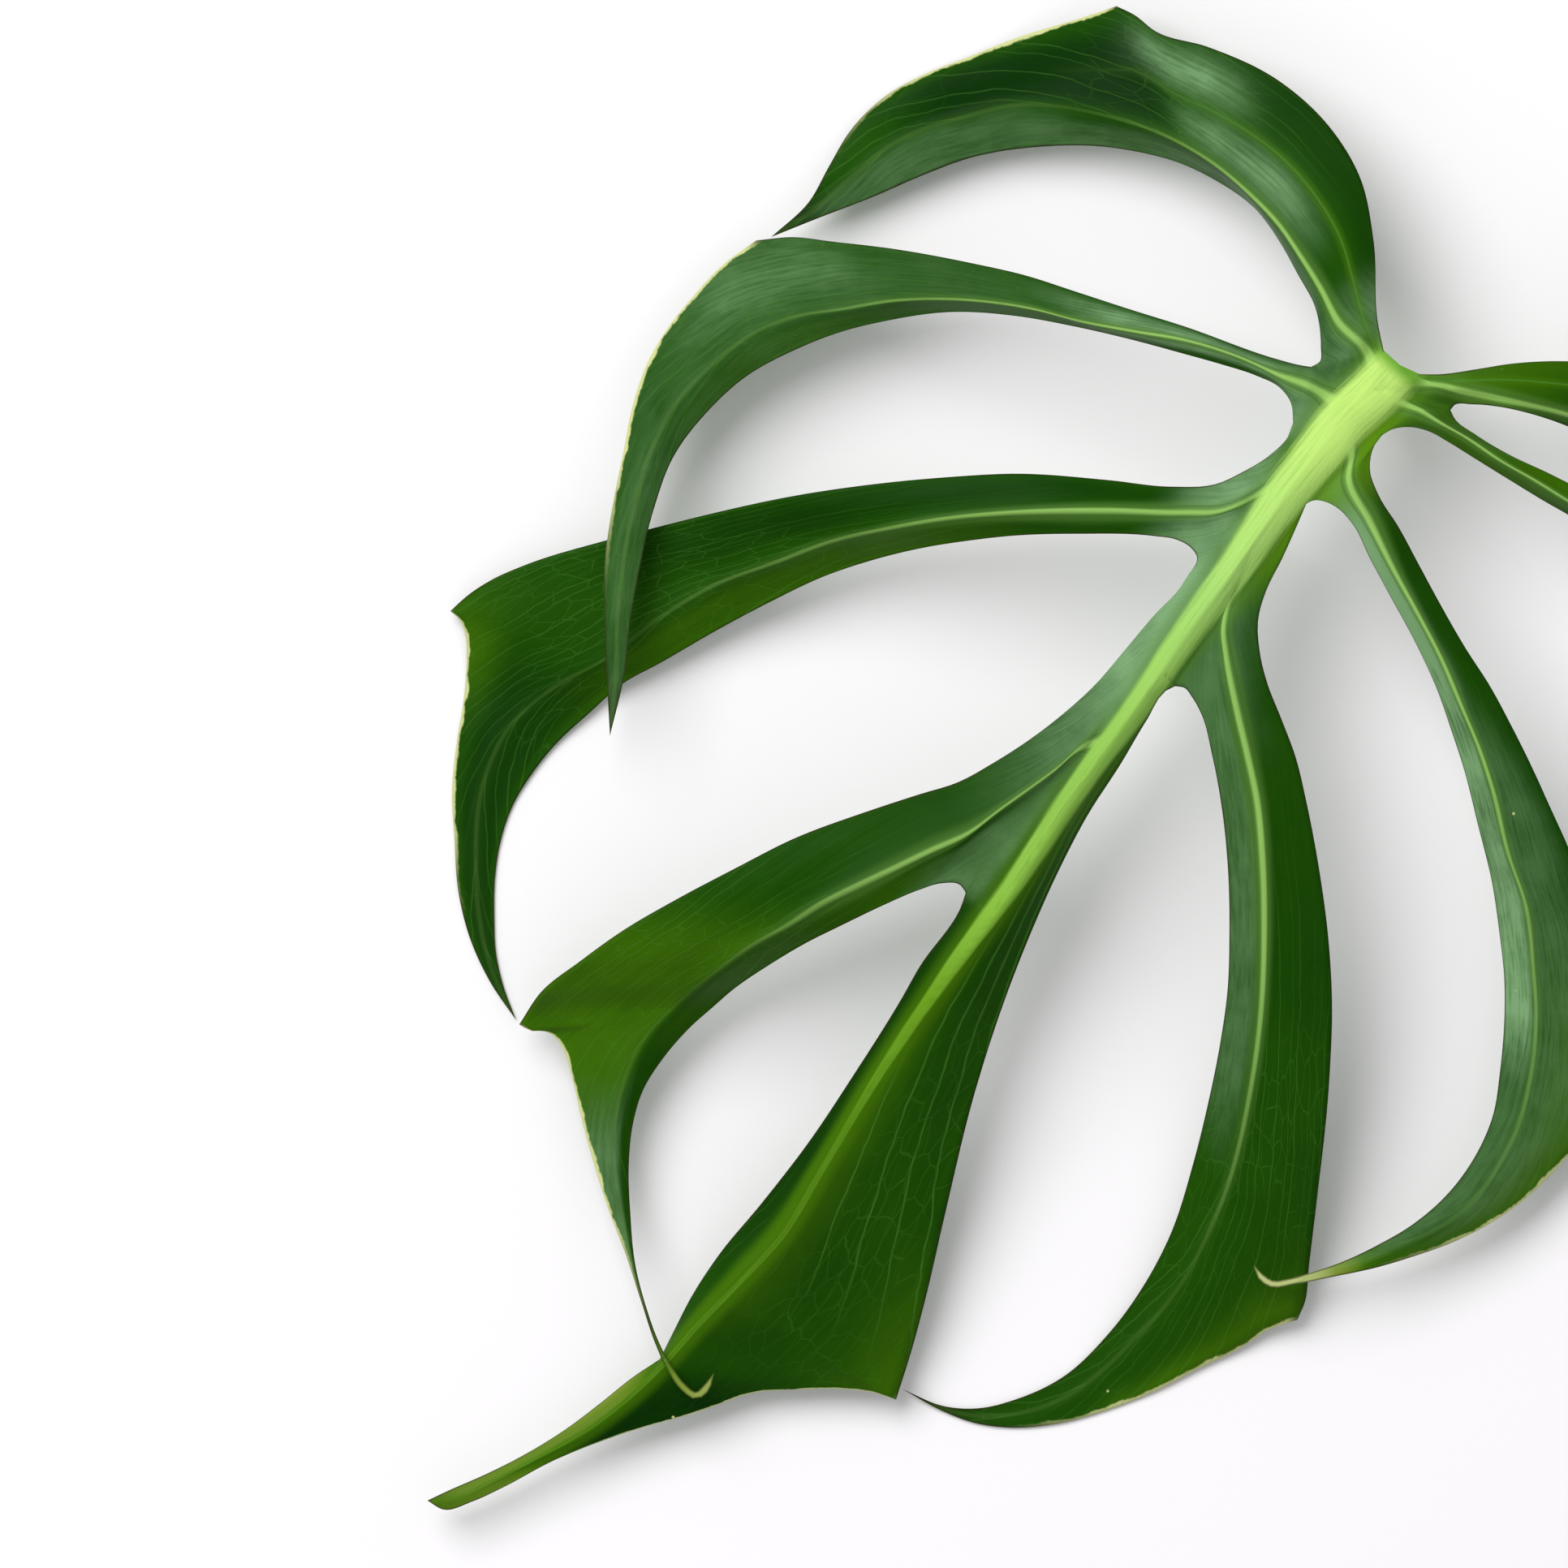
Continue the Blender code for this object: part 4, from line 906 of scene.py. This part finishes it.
class Finish:
    """A material and its shader tree, with short ways to add nodes."""

    def __init__(self, name):
        self.material = bpy.data.materials.new(name)
        self.material.use_nodes = True
        self.nodes = self.material.node_tree.nodes
        self.links = self.material.node_tree.links
        self.shader = self.nodes["Principled BSDF"]

    def node(self, kind, settings, values, output=0):
        """Adds a node: its settings first, then a value or a link for each named input."""
        node = self.nodes.new(kind)
        for name, value in settings.items():
            if name == "stops":
                self.set_stops(node.color_ramp.elements, value)
            else:
                setattr(node, name, value)
        for name, value in values.items():
            self.feed(node.inputs[name], value)
        return Socket(self, node.outputs[output])

    @staticmethod
    def set_stops(elements, stops):
        while len(elements) < len(stops):
            elements.new(1.0)
        for element, (position, colour) in zip(elements, stops):
            element.position = position
            element.color = colour

    def feed(self, into, value):
        if isinstance(value, Socket):
            self.links.new(value.output, into)
        else:
            into.default_value = value

    def attribute(self, name):
        return self.node("ShaderNodeAttribute", {"attribute_name": name}, {}, "Fac")

    def blend(self, factor, start, end):
        """Two colours blended by a factor. A Mix node's colours are its inputs 6 and 7."""
        settings = {"data_type": "RGBA", "clamp_factor": True}
        return self.node("ShaderNodeMix", settings, {0: factor, 6: start, 7: end}, 2)

    def ramp(self, place, stops):
        """A colour that changes along stops, each a position and a colour."""
        return self.node("ShaderNodeValToRGB", {"stops": stops}, {"Fac": place}, "Color")

    def noise(self, coordinates, scale, detail=2, roughness=0.5):
        return self.node(
            "ShaderNodeTexNoise", {},
            {"Vector": coordinates, "Scale": scale, "Detail": detail, "Roughness": roughness},
        )

    def body(self):
        return self.node("ShaderNodeTexCoord", {}, {}, "Object")

    def lobe_place(self):
        """Millimetres beside a lobe's vein, negative towards the base, and along it."""
        uv = self.node("ShaderNodeUVMap", {"uv_map": "Veins"}, {})
        beside, along = (
            self.node("ShaderNodeSeparateXYZ", {}, {"Vector": uv}, axis) * UV_MM for axis in "XY"
        )
        return beside, along.maths("MODULO", along, UV_MM * LOBE_UV)

    def net_lines(self, body, beside, along):
        """Fine veins that leave a lobe's vein at a slant: the distance to the nearest in
        millimetres, how far each is kept, and the noise that bends them."""
        wander = self.noise(body, 45, 3, 0.55) - 0.5
        slant = abs(beside) / NET_GAP - along / NET_SLANT + wander * 1.6
        gap = slant.maths("PINGPONG", slant, 0.5) * NET_GAP
        number = slant.maths("ROUND", slant) + beside.maths("SIGN", beside) * 40.5
        kept = self.node(
            "ShaderNodeTexWhiteNoise", {"noise_dimensions": "1D"}, {"W": number}, "Value"
        )
        return gap, kept.step(0.1, 0.9), wander

    def surface(self, **values):
        for name, value in values.items():
            self.feed(self.shader.inputs[name.replace("_", " ")], value)

    def bump(self, height, depth):
        """A fine relief of a depth in metres, in the shader's normal."""
        values = {"Height": height, "Distance": depth, "Strength": 1.0}
        bumped = self.node("ShaderNodeBump", {}, values)
        self.feed(self.shader.inputs["Normal"], bumped)


# The upper side: dark waxy green, with a pale midrib and veins, a net of fine veins between
# them, a brown line along the margin and a pale torn margin at the lobes' blunt ends.
DEEP_GREEN = (0.0030, 0.036, 0.0003, 1)
FRESH_GREEN = (0.0150, 0.080, 0.0006, 1)
YOUNG_GREEN = (0.0500, 0.145, 0.0010, 1)
# The grey-green of the painted sheen, the light's reflection on the waxy skin.
SHEEN_GREEN = (0.1750, 0.330, 0.1500, 1)
# The tips' brighter yellow-green, partly painted light on the end lobe's tongue.
TONGUE_GREEN_AND_LIGHT = (0.1800, 0.250, 0.0300, 1)
# The darkest green of the deep patches, also painted shade where a lobe turns away from the light.
DEEP_AND_SHADE_GREEN = (0.0012, 0.022, 0.0004, 1)
MIDRIB_STOPS = [(0.0, (0.062, 0.165, 0.004, 1)), (0.16, (0.12, 0.27, 0.010, 1)),
                (0.3, (0.20, 0.41, 0.040, 1)), (0.6, (0.33, 0.58, 0.140, 1)),
                (1.0, (0.46, 0.70, 0.160, 1))]
# A darker midrib green, for the band's own streaks and for painted shade on its right half.
MIDRIB_SHADE = (0.13, 0.33, 0.030, 1)
GLOW_GREEN = (0.0900, 0.210, 0.0350, 1)
BASE_GREEN = (0.1100, 0.270, 0.0060, 1)
VEIN_PALE = (0.29, 0.52, 0.120, 1)
NET_PALE = (0.060, 0.190, 0.022, 1)
MARGIN_BROWN = (0.030, 0.022, 0.008, 1)
TORN_PALE = (0.52, 0.56, 0.24, 1)

green = Finish("leaf_green")
body = green.body()
beside, along = green.lobe_place()
from_midrib, band, to_edge, reach, width = (
    green.attribute(name) for name in ("from_midrib", "band", "to_edge", "reach", "width")
)
side = abs(beside)

broad = green.noise(body, 22, 3, 0.55)
blotch = green.noise(body, 75, 4, 0.6)
grain = green.noise(body, 1400, 2, 0.6)
lengthwise = green.node("ShaderNodeCombineXYZ", {}, {"X": beside * 1.1, "Y": along * 0.09})
streak = green.noise(lengthwise, 1, 4, 0.6)

# The midrib's band, in fine lengthwise streaks, pale at the base and greener towards the tip.
across_midrib = green.attribute("across_midrib")
midrib_place = green.attribute("midrib_place")
midrib_lines = green.node(
    "ShaderNodeCombineXYZ", {}, {"X": across_midrib * 1.6, "Y": midrib_place * 0.05}
)
midrib_streak = green.noise(midrib_lines, 1, 4, 0.7)
on_midrib = 1 - (from_midrib / band + (midrib_streak - 0.5) * 0.5).step(0.85, 1.35)
midrib_colour = green.ramp((band - 0.5) / 4.5, MIDRIB_STOPS)
midrib_colour = green.blend(midrib_streak.step(0.45, 0.7) * 0.35, midrib_colour, MIDRIB_SHADE)
# The band's right half is darker, as painted shade on the side away from the light. Its first 4 mm
# at the base are darker in its own colour.
shade_and_base_tone = (across_midrib / band).step(0.3, 1.1) * 0.2
shade_and_base_tone = shade_and_base_tone.most(1 - midrib_place.step(0.0, 4.0))
midrib_colour = green.blend(shade_and_base_tone, midrib_colour, MIDRIB_SHADE)
off_midrib = 1 - on_midrib

# The lobes' veins, thinner and greener towards the tips.
spent = reach.step(1.4, 2.15)
flare = (1 - ((from_midrib - band) / 5.0).step(-0.2, 1.0)) * 0.5
half_width = 0.76 - spent * 0.28 + flare
vein = green.attribute("vein")
vein_glow = (1 - (side / half_width).step(0.6, 5.5)) * vein
on_vein = (1 - (side / half_width).step(0.4, 1.6)) * vein
second = abs(green.attribute("second"))
second_left = reach.step(0.1, 0.6) * (1 - reach.step(1.2, 2.3))
on_second = (1 - second.step(0.12, 0.6)) * second_left
second_glow = (1 - second.step(0.4, 2.5)) * second_left
# A darker line on either side of each vein: painted shade in the vein's grooves.
groove_shade = (1 - (abs(side - half_width * 2.2) / 0.35).step(0.2, 1.0)) * (1 - spent * 0.6) * vein

# The net: fine veins that leave each vein at a slant, and links between them. In the right half
# of the end lobe they run out to the margin as a fan.
FAN_LINES = 4.5
net_gap, kept, wander = green.net_lines(body, beside, along)
net = (1 - net_gap.step(0.06, 0.27)) * kept
cells = green.node(
    "ShaderNodeCombineXYZ", {}, {"X": side * 0.3 + wander * 2.0, "Y": along * 0.12 + blotch}
)
link_gap = green.node(
    "ShaderNodeTexVoronoi", {"feature": "DISTANCE_TO_EDGE", "voronoi_dimensions": "2D"},
    {"Vector": cells, "Scale": 1.0},
)
links = 1 - link_gap.step(0.01, 0.05)
open_blade = from_midrib.step(2, 14) * reach.step(1.15, 1.75) * off_midrib
end_lobe = green.attribute("end_lobe")
bloom = green.attribute("bloom")
net = net * (0.25 + streak) * (1 - end_lobe * 0.75)
net = net.most(links * broad.step(0.42, 0.62) * 0.45) * open_blade
net = net * (1 - reach.step(1.75, 2.1) * 0.4) * (0.4 + blotch * 0.8) * (1 - bloom * 0.7)
fan = side / width * FAN_LINES - along * 0.014 + wander * 0.7
fan_gap = fan.maths("PINGPONG", fan, 0.5) * width / FAN_LINES
fan = (1 - fan_gap.step(0.08, 0.36)) * end_lobe * side.step(1.5, 5) * (1 - reach.step(1.8, 2.03))
net = net.most(on_second * 0.9).most(fan * (0.2 + streak))

# The margins: a thin brown line all round, and a torn pale one at the blunt ends.
nick = green.noise(body, 160, 3, 0.7)
brown_margin = 1 - to_edge.step(0.15, 0.45)
blunt_end = reach.step(1.99, 2.03) * (1 - reach.step(2.45, 2.75)) * (0 - beside).step(-0.01, 0.01)
torn = (1 - (to_edge + (nick - 0.5) * 2.0).step(0.35, 0.85)) * blunt_end

# The colours, one over the other: mottled greens, the patches with their painted sheen, light and
# shade, the veins with painted shade in their grooves, and the margins.
colour = green.blend(broad * 0.7 + blotch * 0.5 - 0.12, DEEP_GREEN, FRESH_GREEN)
colour = green.blend((streak - 0.35) * 0.55, colour, FRESH_GREEN)
young = green.attribute("young")
off_web = reach.step(0.8, 1.3)
# The painted sheen is broken into lengthwise streaks and blotches.
sheen_cloud = (streak.step(0.25, 0.7) * 0.5 + 0.28) * off_web
sheen_cloud = sheen_cloud + (1 - off_web) * broad.step(0.3, 0.65) * 0.9
sheen_cloud = sheen_cloud + blotch.step(0.35, 0.65) * 0.3
near_base = 1 - midrib_place.step(0.0, 75.0)
on_right = across_midrib.step(-0.5, 0.5)
base_web = midrib_place.step(4.0, 18.0) * (1 - midrib_place.step(35.0, 80.0)) * on_right
glow_reach = band + 2.0 + base_web * 6.0
midrib_glow = (1 - (from_midrib / glow_reach).step(0.5, 1.5)) * (0.6 + base_web * 0.3)
# Young yellow-green, partly painted light on the end lobe's left half. Past 1 the tips turn to a
# brighter green, partly painted light on the tongue, and past 2 to a pale torn end.
colour = green.blend(young * (0.5 + blotch * 0.5), colour, YOUNG_GREEN)
colour = green.blend(young - 1.0, colour, TONGUE_GREEN_AND_LIGHT)
colour = green.blend(young - 2.0, colour, TORN_PALE)
# Deep green patches, partly painted shade on sides and tips turned away from the light.
colour = green.blend(green.attribute("deep"), colour, DEEP_AND_SHADE_GREEN)
# Painted sheen: the grey-green reflection of the light where a lobe faces it.
colour = green.blend(bloom * sheen_cloud, colour, SHEEN_GREEN)
colour = green.blend(midrib_glow, colour, green.blend(near_base, YOUNG_GREEN, BASE_GREEN))
# Painted shade in the grooves beside the veins.
colour = green.blend(groove_shade * off_midrib * 0.6, colour, DEEP_GREEN)
colour = green.blend(vein_glow * 0.72, colour, GLOW_GREEN)
colour = green.blend(second_glow * 0.45, colour, YOUNG_GREEN)
colour = green.blend(net * 0.62, colour, NET_PALE)
colour = green.blend(on_vein * 0.85, colour, VEIN_PALE)
on_midrib = on_midrib * (1 - (young - 1.0).most(0.0) * 0.7)
colour = green.blend(on_midrib, colour, midrib_colour)
colour = green.blend(brown_margin * 0.7, colour, MARGIN_BROWN)
colour = green.blend(torn, colour, TORN_PALE)
dust = green.node("ShaderNodeTexVoronoi", {}, {"Vector": body, "Scale": 60.0}, "Distance")
colour = green.blend((1 - dust.step(0.012, 0.03)) * blotch.step(0.5, 0.55), colour, TORN_PALE)
green.surface(Specular_IOR_Level=0.03)
green.surface(Base_Color=colour, Roughness=0.30 + blotch * 0.12 + grain * 0.06 + on_midrib * 0.08)
green.bump(net * -0.5 + grain * 0.06 + streak * 0.6, 0.00018)
blade_mesh.materials.append(green.material)

# The underside: paler and duller, with the net of veins standing out a little.
UNDER_GREEN = (0.085, 0.205, 0.045, 1)
UNDER_DEEP = (0.055, 0.150, 0.030, 1)
UNDER_VEIN = (0.190, 0.360, 0.090, 1)
under = Finish("leaf_underside")
body = under.body()
beside, along = under.lobe_place()
net_gap, kept, _ = under.net_lines(body, beside, along)
from_midrib = under.attribute("from_midrib")
on_midrib = 1 - (from_midrib / under.attribute("band")).step(0.8, 1.3)
net = (1 - net_gap.step(0.08, 0.35)) * kept * (1 - on_midrib) * from_midrib.step(2, 12)
blotch = under.noise(body, 75, 4, 0.6)
grain = under.noise(body, 1400, 2, 0.6)
on_vein = 1 - abs(beside).step(0.4, 2.2)
colour = under.blend(blotch, UNDER_DEEP, UNDER_GREEN)
colour = under.blend((net * 0.3).most(on_vein * 0.7).most(on_midrib), colour, UNDER_VEIN)
under.surface(Base_Color=colour, Roughness=0.5 + grain * 0.1)
under.bump(net * 0.3 + grain * 0.3, 0.00018)
blade_mesh.materials.append(under.material)


# The stalk was cut off just under the blade, where it bends down from the midrib. It is one
# with the midrib. Here it is a tube that starts inside the midrib, with a bare cut at its foot.
STALK_RADIUS = 4.2
STALK_FOOT = 12.0
STALK_SPOT = (1712, 464)
BELOW_BAND = 1.0
stalk_x, stalk_y = leaf_frame(*STALK_SPOT)
stalk_x, stalk_y = stalk_x - middle_x, stalk_y - middle_y
stalk_top = float(midrib_heights(0)) - BELOW_BAND
# How far down the stub leans back under the blade, and its girth, at shares of its length.
STALK_LEAN = Profile([0, 0.25, 0.5, 0.75, 1.0], [2.6, 2.2, 2.3, 3.1, 4.5])
STALK_GIRTH = Profile([0, 0.15, 0.5, 0.75, 1.0], [0.70, 1.06, 1.02, 0.98, 0.93])
STALK_SIDES = 64
STALK_PIECES = 30
# Widths of the rings in the caps, as shares of the radius, and the flutes round the skin.
CAP_RINGS = (0.1, 0.2, 0.2)
FLUTES = 9
FLUTE_DEPTH = 0.012

bm = bmesh.new()
bmesh.ops.create_cone(
    bm, cap_ends=True, segments=STALK_SIDES, radius1=1.0, radius2=1.0, depth=1.0,
)
uprights = [edge for edge in bm.edges if abs(edge.verts[0].co.z - edge.verts[1].co.z) > 0.5]
bmesh.ops.subdivide_edges(bm, edges=uprights, cuts=STALK_PIECES - 1)
caps = [face for face in bm.faces if len(face.verts) == STALK_SIDES]
for ring in CAP_RINGS:
    bmesh.ops.inset_region(bm, faces=caps, thickness=ring)
for vert in bm.verts:
    down = 0.5 - vert.co.z
    girth = STALK_RADIUS * float(STALK_GIRTH.at(down))
    flute = 1 + FLUTE_DEPTH * math.sin(FLUTES * math.atan2(vert.co.y, vert.co.x) + 1.0)
    vert.co.x = stalk_x + vert.co.x * girth * flute * MM
    vert.co.y = stalk_y + (vert.co.y * girth * flute - float(STALK_LEAN.at(down))) * MM
    vert.co.z = (stalk_top - down * (stalk_top - STALK_FOOT)) * MM
stalk_mesh = made_mesh("stalk_stub", bm)
stalk_mesh.shade_smooth()
stalk_mesh.set_sharp_from_angle(angle=math.radians(50))
stalk_stub = made_object("stalk_stub", stalk_mesh)
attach(stalk_stub, "root")
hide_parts("monstera_leaf")

# Pale green skin with darker streaks and flecks, and a paler cut face with the ends of fibres.
STALK_GREEN = (0.190, 0.380, 0.075, 1)
STALK_STREAK = (0.100, 0.250, 0.035, 1)
CUT_PALE = (0.420, 0.480, 0.200, 1)
CUT_BROWN = (0.200, 0.150, 0.060, 1)
stalk = Finish("stalk_green")
body = stalk.body()
stretched = stalk.node("ShaderNodeMapping", {}, {"Vector": body, "Scale": (900, 900, 60)})
streak = stalk.noise(stretched, 1, 3, 0.6)
grain = stalk.noise(body, 1500, 2, 0.6)
fibre_gap = stalk.node("ShaderNodeTexVoronoi", {}, {"Vector": body, "Scale": 1500.0}, "Distance")
fibres = 1 - fibre_gap.step(0.15, 0.35)
height = stalk.node("ShaderNodeSeparateXYZ", {}, {"Vector": body}, "Z")
cut = 1 - height.step((STALK_FOOT + 0.02) * MM, (STALK_FOOT + 0.25) * MM)
skin = stalk.blend(streak.step(0.45, 0.7), STALK_GREEN, STALK_STREAK)
flesh = stalk.blend(fibres * 0.7 + grain * 0.2, CUT_PALE, CUT_BROWN)
stalk.surface(Base_Color=stalk.blend(cut, skin, flesh), Roughness=0.42 + cut * 0.25 + grain * 0.08)
stalk.bump(streak * 0.5 + grain * 0.3, 0.00015)
stalk_mesh.materials.append(stalk.material)


# The leaf lies on a plain pale sheet under a large soft window light from the upper left.
FLOOR_SIZE = 6.0
bm = bmesh.new()
bmesh.ops.create_grid(bm, x_segments=1, y_segments=1, size=FLOOR_SIZE / 2)
floor_mesh = made_mesh("floor", bm)
floor = made_object("floor", floor_mesh)
paper = Finish("pale_sheet")
paper.surface(Base_Color=(0.862, 0.845, 0.864, 1), Roughness=0.9)
floor_mesh.materials.append(paper.material)

LIGHT_DISTANCE = 2.2
LIGHT_SIZE = 1.7
LIGHT_POWER = 41.0
ROOM_LIGHT = 0.60
# Towards the light, in the picture's right and up and the leaf's Z.
LIGHT_FROM = (-0.50, 0.58, 1.0)
picture_right = Vector((cos, sin, 0))
picture_up = Vector((-sin, cos, 0))
towards = picture_right * LIGHT_FROM[0] + picture_up * LIGHT_FROM[1]
towards.z = LIGHT_FROM[2]
towards.normalize()
lamp = bpy.data.lights.new("window", "AREA")
lamp.shape = "DISK"
lamp.size = LIGHT_SIZE
lamp.energy = LIGHT_POWER
window = made_object("window", lamp)
window.location = towards * LIGHT_DISTANCE
window.rotation_euler = towards.to_track_quat("Z", "Y").to_euler()
sky = bpy.data.worlds.new("soft_room")
sky.use_nodes = True
background = sky.node_tree.nodes["Background"]
background.inputs["Color"].default_value = (1, 1, 1, 1)
background.inputs["Strength"].default_value = ROOM_LIGHT
bpy.context.scene.world = sky
bpy.context.scene.view_settings.view_transform = "Standard"


# It looks straight down on the leaf from far away, so that the photograph's outlines hold.
PHOTO_SIZE = 1932
CAMERA_DISTANCE = 9.0
SENSOR = 36.0
centre_x, centre_y = leaf_frame(PHOTO_SIZE / 2, PHOTO_SIZE / 2)
camera_data = bpy.data.cameras.new("camera")
camera_data.sensor_width = SENSOR
camera_data.lens = SENSOR * CAMERA_DISTANCE / (PHOTO_SIZE * SCALE)
camera_data.clip_end = 100.0
camera = made_object("camera", camera_data)
camera.location = (centre_x - middle_x, centre_y - middle_y, CAMERA_DISTANCE)
camera.rotation_euler = (0, 0, MIDRIB_LEAN)
bpy.context.scene.camera = camera
